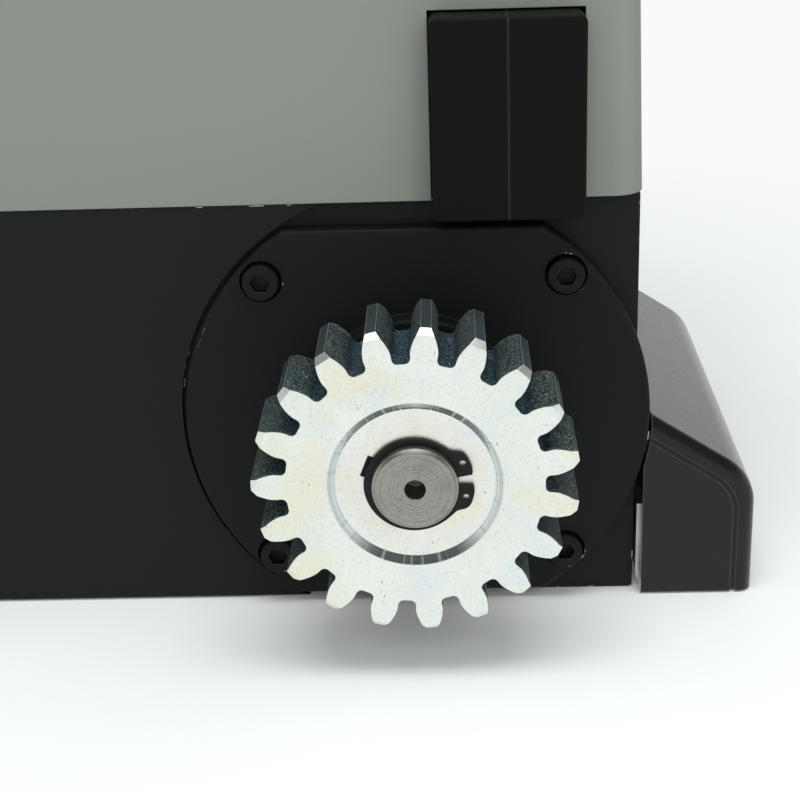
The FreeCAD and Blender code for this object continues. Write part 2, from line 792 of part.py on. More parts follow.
def make_motor_flange():
    """Cup between the gearcase and the stator, with a spigot that holds the worm's upper bearing."""
    cup = turned([
        (upper_journal_r + 1, upper_bearing_z + upper_bearing_width), (upper_bearing_r - seat_gap,
         upper_bearing_z + upper_bearing_width), (upper_bearing_r - seat_gap, deck_z), (stator_r, deck_z),
        (stator_r, flange_top_z), (stator_r - 4, flange_top_z), (stator_r - 4, deck_z + 5),
        (upper_journal_r + 1, deck_z + 5)], "z", (worm_x, worm_y))
    ears = [rod_z(5.5, deck_z, flange_top_z, x, y) for x, y in ear_places()]
    inside = rod_z(stator_r - 4, deck_z + 5, flange_top_z + 1, worm_x, worm_y)
    cup = cup.fuse(ears).cut(inside)
    for x, y in ear_places():
        cup = cup.cut(rod_z(tie_bolt_r + 0.1, deck_z + 3, flange_top_z + 1, x, y))
    for x, y in flange_screw_places():
        cup = cup.cut(rod_z(2.75, deck_z - 1, deck_z + 6, x, y))
        cup = cup.cut(rod_z(4.6, flange_screw_seat_z, deck_z + 6, x, y))
    return cup


def make_stator_core():
    """Laminated core with its slots."""
    core = turned([
        (rotor_r + air_gap, stator_z), (stator_r, stator_z), (stator_r, stator_top_z),
        (rotor_r + air_gap, stator_top_z)], "z", (worm_x, worm_y))
    scallops = [rod_z(tie_bolt_r + 0.2, stator_z - 1, stator_top_z + 1, x, y) for x, y in ear_places()]
    slots = []
    for k in range(24):
        slot = box(worm_x + winding_inner_r - 0.5, worm_x + winding_outer_r, worm_y - 1.6, worm_y + 1.6,
                   stator_z - 1, stator_top_z + 1)
        slot.rotate(Vec(worm_x, worm_y, 0), Vec(0, 0, 1), 15 * k)
        slots.append(slot)
    return core.cut(scallops + slots)


def make_windings():
    """Copper end turns above and below the stator pack, taped into rings."""
    rings = []
    for z0, z1 in ((stator_z - 8, stator_z), (stator_top_z, stator_top_z + 9)):
        ring = turned([
            (winding_inner_r + 1, z0), (winding_outer_r - 1, z0), (winding_outer_r, z0 + 2),
            (winding_outer_r, z1 - 2), (winding_outer_r - 1, z1), (winding_inner_r + 1, z1),
            (winding_inner_r, z1 - 2), (winding_inner_r, z0 + 2)],
            "z", (worm_x, worm_y))
        rings.append(ring)
    return group(rings)


def make_end_shield():
    """Domed top cover of the motor with the rotor's top bearing seat."""
    seat = lower_bearing_r
    shield = turned([
        (stator_r, stator_top_z), (stator_r, stator_top_z + 8), (stator_r - 8, top_bearing_z + 9),
        (seat + 4, shield_top_z), (0, shield_top_z), (0, shield_top_z - 2.5), (seat, shield_top_z - 2.5),
        (seat, top_bearing_z), (seat + 4, top_bearing_z), (seat + 4, top_bearing_z + 6),
        (stator_r - 10, top_bearing_z + 4), (stator_r - 4, stator_top_z + 6), (stator_r - 4, stator_top_z)],
        "z", (worm_x, worm_y))
    ears = []
    for x, y in ear_places():
        ears.append(rod_z(5.5, stator_top_z, stator_top_z + 8, x, y))
    keep = rod_z(stator_r - 4, stator_top_z - 1, stator_top_z + 6, worm_x, worm_y)
    shield = shield.fuse([ear.cut(keep) for ear in ears])
    for x, y in ear_places():
        shield = shield.cut(rod_z(tie_bolt_r + 0.1, stator_top_z - 1, stator_top_z + 12, x, y))
        shield = shield.cut(rod_z(tie_bolt_r * 2, stator_top_z + 8, stator_top_z + 20, x, y))
    return shield


def make_tie_bolts():
    """Bolts that tie the end shield to the flange."""
    length = stator_top_z + 8 - (deck_z + 4)
    return group([cap_screw(2 * tie_bolt_r, length, (x, y, stator_top_z + 8), (0, 0, -1))
                  for x, y in ear_places()])


def make_flange_screws():
    """Screws of the motor flange."""
    return group([cap_screw(5, 13.5, (x, y, flange_screw_seat_z), (0, 0, -1))
                  for x, y in flange_screw_places()])


# ---------------------------------------------------------------- housing and cover plate
def plate_screw_places():
    """Centres of the cover plate's four screws."""
    half = plate_screw_pitch / 2
    return [(shaft_x + a * half, shaft_z + b * half) for a in (-1, 1) for b in (-1, 1)]


def limit_screw_places():
    """Centres of the limit block's screws."""
    return [(block_x + a * 12, back_y + 22) for a in (-1, 1)]


def make_housing():
    """Die-cast gearcase and electronics tray in one piece, open at the top."""
    body = box(-half_w, half_w, back_y, front_y, 0, housing_height)
    body = body.makeFillet(front_corner_r, edges_where(
        body, lambda b: b.ZLength > housing_height - 1 and b.YMin > front_y - 1))
    body = body.makeFillet(back_corner_r, edges_where(
        body, lambda b: b.ZLength > housing_height - 1 and b.YMax < back_y + 1))
    body = body.makeFillet(bottom_edge_r, edges_where(body, lambda b: b.ZMax < 0.01))
    pads = []
    for side in (-1, 1):
        for y in bracket_screw_y:
            x0 = half_w - 1 if side > 0 else -half_w - foot_flange_gap
            pads.append(rod_x(8.0, x0, x0 + 1 + foot_flange_gap, y, bracket_screw_z))
    body = body.fuse(pads)

    pocket_z = shaft_z + plate_rise
    cuts = [rod_y(pocket_r, back_y - 1, floor_y, shaft_x, pocket_z),
            box(shaft_x, half_w + 5, back_y - 1, floor_y, -1, housing_height + 1),
            rod_y(chamber_r, floor_y - 1, chamber_end_y),
            rod_y(tail_bearing_r, chamber_end_y - 1, chamber_end_y + tail_bearing_width),
            rod_y(tail_r + 3, chamber_end_y, gearcase_end_y + 1),
            rod_z(upper_bearing_r, lower_bearing_z + lower_bearing_width, housing_height + 1, worm_x, worm_y),
            rod_z(lower_bearing_r, lower_bearing_z, housing_height, worm_x, worm_y)]
    tray = box(-half_w + wall, half_w - wall, gearcase_end_y, front_y - wall, wall, housing_height + 1)
    tray = tray.makeFillet(tray_corner_r, edges_where(tray, lambda b: b.ZLength > 50))
    bay_x = worm_x - upper_bearing_r - wall - 2
    bay = box(-half_w + wall, bay_x, back_y + wall, front_y - wall - 12, wall, housing_height + 1)
    bay = bay.makeFillet(4, edges_where(bay, lambda b: b.ZLength > 50))
    cuts += [tray, bay]
    cuts += [screw_hole(6, plate_screw_length, (x, floor_y, z), (0, 1, 0)) for x, z in plate_screw_places()]
    cuts += [screw_hole(5, 11, (x, y, deck_z), (0, 0, -1)) for x, y in flange_screw_places()]
    cuts += [screw_hole(4, 8, (x, y, deck_z), (0, 0, -1)) for x, y in limit_screw_places()]
    cuts += [rod_z(entry_r, -1, wall + 1, entry_x, entry_y)]
    cuts += [rod_y(rod_r + 2, front_y - wall - 1, front_y + 1)]
    cuts += [screw_hole(5, wall + 1, (x, front_y, z), (0, -1, 0)) for x, z in release_screw_places]
    for side in (-1, 1):
        cuts.append(screw_hole(5, wall + 1, (side * cover_screw_x, front_y, cover_screw_z), (0, -1, 0)))
        for y in bracket_screw_y:
            cuts.append(screw_hole(6, 7, (side * (half_w + foot_flange_gap), y, bracket_screw_z),
                                   (-side, 0, 0)))
    body = body.cut(cuts)
    posts = [rod_z(5.0, wall - 1, post_top_z, side * post_x, carrier_y + 2) for side in (-1, 1)]
    return body.fuse(posts).removeSplitter()


def make_cover_plate():
    """Round gearbox cover with two flats, a bearing boss and a spigot in the gear chamber."""
    centre_z = shaft_z + plate_rise
    disc = rod_y(plate_r, plate_front_y, floor_y, shaft_x, centre_z)
    band = box(shaft_x - 100, shaft_x + 100, plate_front_y - 5, floor_y + 5,
               centre_z - plate_flat_half, centre_z + plate_flat_half)
    disc = disc.common(band)
    disc = disc.makeFillet(plate_edge_r, edges_where(
        disc, lambda b: b.YLength < 1e-6 and b.YMax < plate_front_y + 0.01))
    boss = rod_y(boss_r, boss_front_y, plate_front_y + 1)
    front_rim = edges_where(boss, lambda b: b.YLength < 1e-6 and b.YMax < boss_front_y + 0.01)
    boss = boss.makeFillet(1.0, front_rim)
    spigot = rod_y(chamber_r - running_gap, floor_y - 1, shoulder_y)
    plate = disc.fuse([boss, spigot])
    groove = rod_y(chamber_r + 1, floor_y + 3, floor_y + 6)
    groove = groove.cut(rod_y(chamber_r - 3, floor_y + 2, floor_y + 7))
    cuts = [rod_y(front_bearing_r, front_bearing_y, shoulder_y + 1),
            rod_y(seal_r, boss_front_y - 1, front_bearing_y + 1), groove,
            rod_y(chamber_r - 8, shoulder_y - 5, shoulder_y + 1).cut(
                rod_y(front_bearing_r + 5, shoulder_y - 6, shoulder_y + 2))]
    for x, z in plate_screw_places():
        cuts.append(rod_y(3.3, plate_front_y - 1, floor_y + 1, x, z))
        cuts.append(rod_y(5.8, plate_front_y - 1, plate_screw_seat_y, x, z))
    return plate.cut(cuts)


def make_plate_seal():
    """Gasket ring behind the cover plate."""
    return rod_y(chamber_r, floor_y + 3.2, floor_y + 5.8).cut(
        rod_y(chamber_r - 2.8, floor_y + 3, floor_y + 6))


def make_plate_screws():
    """Four cap screws of the cover plate."""
    return group([cap_screw(6, plate_screw_length, (x, plate_screw_seat_y, z), (0, 1, 0))
                  for x, z in plate_screw_places()])


# ---------------------------------------------------------------- cover


def rounded_plan(x_half, y0, y1, corner_back, corner_front, bow, z):
    """Plan outline at height z: straight sides and back, bowed front, round corners."""
    xb = x_half - corner_back
    xf = x_half - corner_front
    k = math.sqrt(0.5)
    yf = y1 - bow
    points = {
        "a": Vec(-xb, y0, z), "b": Vec(xb, y0, z), "c": Vec(x_half, y0 + corner_back, z),
        "d": Vec(x_half, yf - corner_front, z), "e": Vec(xf, yf, z), "f": Vec(-xf, yf, z),
        "g": Vec(-x_half, yf - corner_front, z), "h": Vec(-x_half, y0 + corner_back, z)}
    mid_b = Vec(xb + corner_back * k, y0 + corner_back * (1 - k), z)
    mid_f = Vec(xf + corner_front * k, yf - corner_front * (1 - k), z)
    return Part.Wire([
        Part.LineSegment(points["a"], points["b"]).toShape(),
        Part.Arc(points["b"], mid_b, points["c"]).toShape(),
        Part.LineSegment(points["c"], points["d"]).toShape(),
        Part.Arc(points["d"], mid_f, points["e"]).toShape(),
        Part.Arc(points["e"], Vec(0, y1, z), points["f"]).toShape(),
        Part.Arc(points["f"], Vec(-mid_f.x, mid_f.y, z), points["g"]).toShape(),
        Part.LineSegment(points["g"], points["h"]).toShape(),
        Part.Arc(points["h"], Vec(-mid_b.x, mid_b.y, z), points["a"]).toShape()])


def cover_form(inset, low_apron, low_box, apron_y):
    """Outer form of the cover moved inwards by inset: upper box and the apron before the housing."""
    bow = 12.0
    wires = []
    for height, shrink, lean in ((low_box, 0.0, 0.0), (cover_top - inset, cover_draft, 22.0)):
        wires.append(rounded_plan(cover_half_w - inset - shrink, cover_back_y + inset + shrink * 0.5,
                                  cover_front_y - inset - lean, 8.0 - inset * 0.5, 20.0 - inset, bow, height))
    upper = Part.makeLoft(wires, True, True)
    round_r = 12.0 - inset
    upper = upper.makeFillet(round_r, edges_where(upper, lambda b: b.ZMin > cover_top - inset - 0.01))
    plan = rounded_plan(cover_half_w - inset, cover_back_y + inset, cover_front_y - inset, 8.0 - inset * 0.5,
                        20.0 - inset, bow, low_apron)
    apron = Part.Face(plan).extrude(Vec(0, 0, low_box - low_apron))
    apron = apron.common(box(-half_w * 2, half_w * 2, apron_y, front_y * 2, low_apron - 1, low_box + 1))
    return upper.fuse(apron)


def make_top_cover():
    """Moulded shell over the motor and the control board, down to the ground on the release side."""
    outer = cover_form(0.0, apron_low_z, cover_base_z, front_y + apron_gap)
    inner = cover_form(cover_wall, apron_low_z - 5, cover_base_z - 5, front_y - 5)
    shell = outer.cut(inner)
    notch = box(block_x - block_width / 2 - 0.4, block_x + block_width / 2 + 0.4, cover_back_y - 5,
                cover_back_y + 12, block_bottom_z - 5, block_bottom_z + block_height + 0.5)
    window_half = lever_width / 2 + lug_height + 2.5
    window = box(shaft_x - lever_length - 8, shaft_x + 18, front_y + 5, front_y + 60,
                 shaft_z - window_half, shaft_z + window_half)
    window = window.makeFillet(5, edges_where(window, lambda b: b.YLength > 20))
    posts = []
    for side in (-1, 1):
        x = side * cover_screw_x
        post = rod_y(6.5, front_y + 0.5, cover_front_y - 10, x, cover_screw_z)
        posts.append(post.common(outer))
    shell = shell.fuse(posts)
    cuts = [notch, window]
    for side in (-1, 1):
        x = side * cover_screw_x
        cuts.append(rod_y(2.75, front_y - 5, front_y + 60, x, cover_screw_z))
        cuts.append(rod_y(5.2, cover_screw_seat_y, front_y + 60, x, cover_screw_z))
    return shell.cut(cuts)


def make_cover_screws():
    """Two screws at the foot of the cover."""
    return group([cap_screw(5, 11, (side * cover_screw_x, cover_screw_seat_y, cover_screw_z), (0, -1, 0))
                  for side in (-1, 1)])


def make_cover_gasket():
    """Rubber cord on the housing's rim, inside the cover's walls."""
    edge = half_w - 2.4
    outer = box(-edge, edge, back_y + 3.2, front_y - 2.2, deck_z, deck_z + 2.5)
    inner = box(-edge + 2.4, edge - 2.4, back_y + 5.6, front_y - 4.6, deck_z - 1, deck_z + 4)
    outer = outer.makeFillet(7.5, edges_where(outer, lambda b: b.ZLength > 1))
    inner = inner.makeFillet(5.0, edges_where(inner, lambda b: b.ZLength > 1))
    ring = outer.cut(inner)
    gap = box(block_x - block_width / 2 - 1, block_x + block_width / 2 + 1, back_y - 5, back_y + 10,
              deck_z - 1, deck_z + 5)
    return ring.cut(gap)


# ---------------------------------------------------------------- limit switch
def make_limit_case(side):
    """One half of the sensor block. The halves meet on the block's middle plane."""
    x0 = block_x - block_width / 2
    x1 = block_x + block_width / 2
    block_back_y = floor_y - 0.5
    z0 = block_bottom_z
    body = box(x0, x1, block_front_y, block_back_y, z0, z0 + block_height)
    corner = edges_where(body, lambda b: b.YLength > 5)
    body = body.makeFillet(1.8, corner)
    front = edges_where(body, lambda b: b.YLength < 1e-6 and b.YMax < block_front_y + 0.01)
    body = body.makeFillet(0.6, front)
    tongue = box(x0 + 2, x1 - 2, block_back_y - 1, back_y + tongue_depth, deck_z, deck_z + 4)
    body = body.fuse(tongue)
    hollow = box(x0 + 2.5, x1 - 2.5, block_front_y + 2.5, block_back_y - 2.5, z0 + 6, z0 + block_height - 2.5)
    body = body.cut(hollow)
    for x, y in limit_screw_places():
        body = body.cut(rod_z(2.2, deck_z - 1, deck_z + 5, x, y))
    seam = 0.15
    if side < 0:
        half = box(x0 - 5, block_x - seam / 2, block_front_y - 5, back_y + 60, z0 - 5, z0 + 80)
    else:
        half = box(block_x + seam / 2, x1 + 5, block_front_y - 5, back_y + 60, z0 - 5, z0 + 80)
    return body.common(half)


def make_limit_sensor():
    """Sensor board with two reed switches, held between the two halves of the case."""
    y = block_front_y + 6
    board = box(block_x - 15, block_x + 15, y, y + 1.6, block_bottom_z + 8, block_bottom_z + 44)
    reeds = [rod_z(1.5, block_bottom_z + 14, block_bottom_z + 34, block_x + a * 8, y - 1.5 + 0.2)
             for a in (-1, 1)]
    return board.fuse(reeds)


def make_limit_screws():
    """Screws that hold the limit block."""
    return group([cap_screw(4, 11, (x, y, deck_z + 4), (0, 0, -1)) for x, y in limit_screw_places()])


# ---------------------------------------------------------------- side feet


def foot_slot_places():
    """Centres of the anchor slots."""
    return [foot_mid_y - foot_slot_pitch / 2, foot_mid_y + foot_slot_pitch / 2]


def make_foot_bracket():
    """Folded channel of zinc-plated steel: flange on the housing, slotted web on the ground, outer lip."""
    x0 = half_w + foot_flange_gap
    x1 = foot_lip_x
    outer_bend = foot_plate + 2.0
    angle = prism_y([(x0, 0), (x1, 0), (x1, foot_lip_height), (x1 - foot_plate, foot_lip_height),
                     (x1 - foot_plate, foot_plate), (x0 + foot_plate, foot_plate),
                     (x0 + foot_plate, foot_flange_height), (x0, foot_flange_height)], foot_y0, foot_y1)
    angle = angle.makeFillet(outer_bend, edges_where(
        angle, lambda b: b.YLength > 50 and b.XMax < x0 + 0.01 and b.ZMax < 0.01))
    angle = angle.makeFillet(2.0, edges_where(
        angle, lambda b: b.YLength > 50 and abs(b.XMax - x0 - foot_plate) < 0.01
        and abs(b.ZMax - foot_plate) < 0.01))
    half_run = foot_slot_length / 2 - foot_slot_r
    for y in foot_slot_places():
        slot = box(foot_slot_x - foot_slot_r, foot_slot_x + foot_slot_r, y - half_run, y + half_run, -1, 9)
        slot = slot.fuse([rod_z(foot_slot_r, -1, 9, foot_slot_x, y - half_run),
                          rod_z(foot_slot_r, -1, 9, foot_slot_x, y + half_run)])
        angle = angle.cut(slot)
    for y in bracket_screw_y:
        angle = angle.cut(rod_x(3.2, x0 - 5, x0 + 10, y, bracket_screw_z))
        angle = angle.cut(box(x1 - 9, x1 + 9, y - catch_half - seat_gap, y + catch_half + seat_gap,
                              catch_z - seat_gap, catch_z + 4 + seat_gap))
    return angle


def make_foot_bracket_screws():
    """Screws that hold the foot brackets to the housing."""
    screws = []
    for side in (-1, 1):
        x = side * (half_w + foot_flange_gap + foot_plate)
        screws += [cap_screw(6, foot_plate + 6, (x, y, bracket_screw_z), (-side, 0, 0))
                   for y in bracket_screw_y]
    return group(screws)


def foot_outline(inset, gap, low, base):
    """Profile (x, z) of the right foot: slope down from the housing's wall, round knee, upright side.

    gap is how far from the wall the profile starts."""
    slope = math.radians(foot_roof_slope)
    x_in = half_w + gap
    x_out = foot_half_width - inset
    z_wall = foot_cover_height - inset / math.cos(slope)
    z_top = z_wall - gap * math.tan(slope)
    knee_r = foot_knee_r - inset * 0.5
    z_knee = z_wall - (x_out - half_w) * math.tan(slope)
    run = knee_r * math.tan((math.pi / 2 - slope) / 2)
    start = Vec(x_out - run * math.cos(slope), base, z_knee + run * math.sin(slope))
    end = Vec(x_out, base, z_knee - run)
    centre = Vec(x_out - knee_r, base, z_knee - run)
    bend = (math.pi / 2 - slope) / 2
    mid = Vec(centre.x + knee_r * math.cos(bend), base, centre.z + knee_r * math.sin(bend))
    return [
        Part.LineSegment(Vec(x_in, base, low), Vec(x_in, base, z_top)).toShape(),
        Part.LineSegment(Vec(x_in, base, z_top), start).toShape(),
        Part.Arc(start, mid, end).toShape(),
        Part.LineSegment(end, Vec(x_out, base, low)).toShape(),
        Part.LineSegment(Vec(x_out, base, low), Vec(x_in, base, low)).toShape()]


def make_foot_cover():
    """Moulded cover over the foot: end panels, a sloped roof with a round knee, and catches for the lip."""
    outer = Part.Face(Part.Wire(foot_outline(0.0, foot_cover_gap, foot_low_z, foot_front_y)))
    outer = outer.extrude(Vec(0, foot_cover_length, 0))
    ends = edges_where(outer, lambda b: b.YLength < 1e-6 and b.ZMax > 10
                       and b.XMax > half_w + foot_cover_gap + 1 and b.XLength > 0.5)
    outer = outer.makeFillet(foot_roof_r, ends)
    inner = Part.Face(Part.Wire(foot_outline(foot_cover_wall, foot_cover_gap - 1, foot_low_z - 1,
                                             foot_front_y + foot_cover_wall)))
    shell = outer.cut(inner.extrude(Vec(0, foot_cover_length - 2 * foot_cover_wall, 0)))
    ribs = []
    catches = []
    for y in bracket_screw_y:
        rib_y = y + 25.0
        profile = foot_outline(foot_cover_wall - 0.5, foot_cover_gap + 12, foot_flange_height + 6, rib_y)
        ribs.append(Part.Face(Part.Wire(profile)).extrude(Vec(0, 2.0, 0)))
        catches.append(box(foot_lip_x - foot_plate + 0.5, foot_half_width - 1, y - catch_half, y + catch_half,
                           catch_z, catch_z + 4))
    shell = shell.fuse(ribs + catches).removeSplitter()
    ledge = foot_cover_wall + 2.0
    line = foot_outline(ledge, foot_cover_gap - 3, foot_low_z - 3, foot_front_y - 1)
    line_in = foot_outline(ledge + 1.3, foot_cover_gap - 4, foot_low_z - 4, foot_front_y - 1)
    groove = Part.Face(Part.Wire(line)).extrude(Vec(0, 1.9, 0)).cut(
        Part.Face(Part.Wire(line_in)).extrude(Vec(0, 5, 0)))
    return shell.cut(groove)


def plate_clearance():
    """Room around the cover plate's rim, which overhangs the housing's right-hand wall."""
    return rod_y(plate_r + 0.8, plate_front_y - 10, floor_y + 0.8, shaft_x, shaft_z + plate_rise)


# ---------------------------------------------------------------- release lever


def make_release_bracket():
    """Die-cast plate on the housing's front wall with two lugs for the lever's pivot."""
    y0 = front_y
    y1 = front_y + 3.0
    plate = box(shaft_x - 90, shaft_x + 34, y0, y1, shaft_z - 26, shaft_z + 26)
    plate = plate.makeFillet(5, edges_where(plate, lambda b: b.YLength > 2 and b.XLength < 1e-6))
    solids = [plate]
    for z0 in (shaft_z + lever_half + 0.4, shaft_z - lever_half - 0.4 - lug_height):
        lug = box(shaft_x - lug_r, shaft_x + lug_r, y1 - 1, lever_pivot_y, z0, z0 + lug_height)
        lug = lug.fuse(rod_z(lug_r, z0, z0 + lug_height, shaft_x, lever_pivot_y))
        solids.append(lug)
    bracket = solids[0].fuse(solids[1:]).removeSplitter()
    bracket = bracket.cut(rod_z(pivot_r, shaft_z - 60, shaft_z + 60, shaft_x, lever_pivot_y))
    bracket = bracket.cut(rod_y(rod_r + slide_gap, y0 - 1, y1 + 1))
    cam_reach = cam_r + clutch_travel + 1
    bracket = bracket.cut(box(shaft_x - rod_r - 1, shaft_x + cam_reach, y0 - 1, y1 + 1, shaft_z - cam_half - 1,
                              shaft_z + cam_half + 1))
    for x, z in release_screw_places:
        bracket = bracket.cut(rod_y(2.75, y0 - 1, y1 + 1, x, z))
    return bracket


def make_pivot_pin():
    """Pin on which the release lever swings."""
    low = shaft_z - lever_half - 0.4 - lug_height
    return rod_z(pivot_r, low - 1.0, shaft_z + lever_half + 0.4 + lug_height + 1.0, shaft_x, lever_pivot_y)


def cam_wire(z):
    """Spiral cam: its radius grows in step with the lever's angle by the clutch travel."""
    sweep = math.radians(lever_swing)
    start = -math.pi / 2

    def at(turn, radius):
        return Vec(shaft_x + radius * math.cos(turn), lever_pivot_y + radius * math.sin(turn), z)

    steps = 9
    spiral = Part.BSplineCurve()
    spiral.interpolate([at(start + sweep * k / steps, cam_r + clutch_travel * k / steps)
                        for k in range(steps + 1)])
    end = start + sweep
    top = cam_r + clutch_travel
    drop = end + math.radians(55)
    back = start - math.radians(40)
    return Part.Wire([
        spiral.toShape(),
        Part.Arc(at(end, top), at(end + math.radians(12), top), at(end + math.radians(24), top)).toShape(),
        Part.LineSegment(at(end + math.radians(24), top), at(drop, hub_r)).toShape(),
        Part.Arc(at(drop, hub_r), at((drop + back + 2 * math.pi) / 2, hub_r),
                 at(back, hub_r)).toShape(),
        Part.Arc(at(back, hub_r), at((back + start) / 2, hub_r), at(start, cam_r)).toShape()])


def make_release_lever():
    """Pull lever with its cam in one piece. It swings out about the pivot and pushes the rod."""
    low = shaft_z - lever_half
    high = shaft_z + lever_half
    y0 = lever_pivot_y - lever_thickness / 2
    y1 = lever_pivot_y + lever_thickness / 2
    arm = box(shaft_x - lever_length, shaft_x, y0, y1, low, high)
    arm = arm.makeFillet(5, edges_where(arm, lambda b: b.YLength > 5 and b.XMax < shaft_x - 20))
    arm = arm.makeFillet(1.5, edges_where(
        arm, lambda b: b.YLength < 1e-6 and b.YMin > y1 - 0.01 and b.XMin < shaft_x - 1))
    hub = rod_z(lever_thickness / 2 + 1.0, low, high, shaft_x, lever_pivot_y)
    cam = Part.Face(cam_wire(shaft_z - cam_half)).extrude(Vec(0, 0, 2 * cam_half))
    lever = arm.fuse([hub, cam])
    barrel_x, barrel_z = barrel_place
    scoop = rod_z(20, low - 1, high + 1, shaft_x - lever_length + 16, y0 - 16.5)
    cuts = [rod_z(pivot_r + running_gap, low - 1, high + 1, shaft_x, lever_pivot_y),
            rod_y(barrel_r + running_gap, y0 - 5, y1 + 5, barrel_x, barrel_z), scoop]
    return lever.cut(cuts)


def make_lock_barrel():
    """Key cylinder with its locking tongue, shown with the tongue drawn in."""
    x, z = barrel_place
    y0 = lever_pivot_y - lever_thickness / 2 - 1.0
    y1 = lever_pivot_y + lever_thickness / 2 + 1.0
    barrel = rod_y(barrel_r, y0, y1, x, z)
    barrel = barrel.makeFillet(0.6, edges_where(barrel, lambda b: b.YLength < 1e-6 and b.YMin > y1 - 0.01))
    keyway = box(x - 0.9, x + 0.9, y1 - 7, y1 + 1, z - 3.8, z + 3.8)
    keyway = keyway.fuse(rod_y(2.0, y1 - 7, y1 + 1, x, z + 1.2))
    tongue = box(x - 3.5, x + 13, y0 - 2.5, y0 + 0.5, z - 3.5, z + 3.5)
    tongue = tongue.makeFillet(3.0, edges_where(tongue, lambda b: b.YLength > 2 and b.XMin > x + 5))
    return barrel.cut(keyway).fuse(tongue)


def make_release_screws():
    """Screws of the release bracket."""
    return group([cap_screw(5, wall + 2, (x, front_y + 3, z), (0, -1, 0)) for x, z in release_screw_places])


# ---------------------------------------------------------------- electrics


def make_capacitor():
    """Motor run capacitor standing in the bay beside the worm, with two tabs."""
    x = capacitor_x
    y = capacitor_y
    top = wall + capacitor_height
    can = rod_z(capacitor_r, wall + 0.5, top, x, y)
    can = can.makeFillet(2.0, edges_where(can, lambda b: b.ZLength < 1e-6 and b.ZMin > top - 12))
    tabs = [box(x + a * 6 - 0.4, x + a * 6 + 0.4, y - 3.2, y + 3.2, top - 1, top + 9) for a in (-1, 1)]
    return can.fuse(tabs)


def make_capacitor_clip():
    """Open cup that holds the capacitor's foot."""
    x = capacitor_x
    y = capacitor_y
    top = wall + capacitor_clip_height
    ring = rod_z(capacitor_clip_r, wall, top, x, y)
    ring = ring.cut(rod_z(capacitor_r + slide_gap, wall - 1, top + 8, x, y))
    ring = ring.cut(box(x - 5, x + 5, y, y + 30, wall - 1, top + 8))
    base = rod_z(capacitor_clip_r, wall, wall + 0.5, x, y)
    return ring.fuse(base)


def make_transformer():
    """Laminated core with its taped coil, in the tray."""
    x0 = transformer_x
    x1 = x0 + transformer_width
    y0 = tray_y + 18
    y1 = y0 + transformer_depth
    z0 = wall
    core = box(x0, x1, y0, y1, z0, z0 + transformer_height)
    coil = box(x0 + 9, x1 - 9, y0 - 9, y1 + 9, z0 + 8.5, z0 + transformer_height - 8)
    coil = coil.makeFillet(5, edges_where(coil, lambda b: b.ZLength > 10))
    feet = box(x0 - transformer_foot, x1 + transformer_foot, y0 + 2, y1 - 2, z0, z0 + 2)
    return core.fuse([coil, feet])


def make_board_carrier():
    """Moulded carrier that stands the control board upright behind the cover's front."""
    y0 = carrier_y
    z0 = post_top_z
    panel = box(-carrier_half, carrier_half, y0, y0 + carrier_thickness, z0 + 14, z0 + board_height + 20)
    legs = [box(a * post_x - 4, a * post_x + 4, y0 - 3, y0 + 7, z0, z0 + 40) for a in (-1, 1)]
    shelf = box(-post_x, post_x, y0, y0 + 7, z0 + 12.5, z0 + 15.5)
    pegs = [rod_y(3, y0 + carrier_thickness - 0.5, board_y, x, z) for x, z in board_screw_places()]
    carrier = panel.fuse(legs + [shelf] + pegs).removeSplitter()
    return carrier.cut([rod_y(1.5, board_y - 5, board_y + 1, x, z) for x, z in board_screw_places()])


def board_screw_places():
    """Centres of the board's four screws."""
    return [(a * board_screw_x, board_low_z + b) for a in (-1, 1) for b in board_screw_z]


def make_circuit_board():
    """Control board with relays, a microcontroller, a fuse and trim dials."""
    board = box(-board_half, board_half, board_y, board_face_y, board_low_z, board_low_z + board_height)
    parts = []
    for k in range(3):
        parts.append(box(-70 + 22 * k, -52 + 22 * k, board_face_y, board_face_y + 12.4, board_low_z + 50,
                         board_low_z + 72))
    parts.append(box(8, 26, board_face_y, board_face_y + 2.4, board_low_z + 50, board_low_z + 60))
    parts.append(rod_y(6, board_face_y, board_face_y + 13.4, 44, board_low_z + 62))
    parts.append(rod_y(6, board_face_y, board_face_y + 13.4, 60, board_low_z + 62))
    for k in range(4):
        parts.append(rod_y(2.6, board_face_y, board_face_y + 3.9, -8 + 11 * k, board_low_z + 36))
    parts.append(rod_x(2.6, -68, -48, board_face_y + 2.3, board_low_z + 36))
    board = board.fuse(parts)
    return board.cut([rod_y(1.6, board_y - 1, board_y + 3, x, z) for x, z in board_screw_places()])


def make_terminal_blocks():
    """Two rows of screw terminals along the board's lower edge."""
    rows = []
    for x0, count in ((-72, 8), (8, 12)):
        row = box(x0, x0 + terminal_pitch * count, board_face_y, board_face_y + 11.4, board_low_z + 6, board_low_z + 17)
        holes = [box(x0 + terminal_pitch * k + 1.2, x0 + terminal_pitch * k + 3.9, board_face_y + 2.4, board_face_y + 7.4, board_low_z + 4,
                     board_low_z + 9) for k in range(count)]
        rows.append(row.cut(holes))
    return group(rows)


def make_board_screws():
    """Four screws of the control board."""
    return group([cap_screw(3, 6, (x, board_face_y, z), (0, -1, 0)) for x, z in board_screw_places()])


def make_cable_grommet():
    """Rubber grommet around the cable entry in the housing's floor."""
    return turned([
        (entry_r - 3.5, 0.4), (entry_r, 0.4), (entry_r, wall), (entry_r + 3, wall), (entry_r + 3, wall + 2.5),
        (entry_r - 3.5, wall + 2.5)], "z", (entry_x, entry_y))


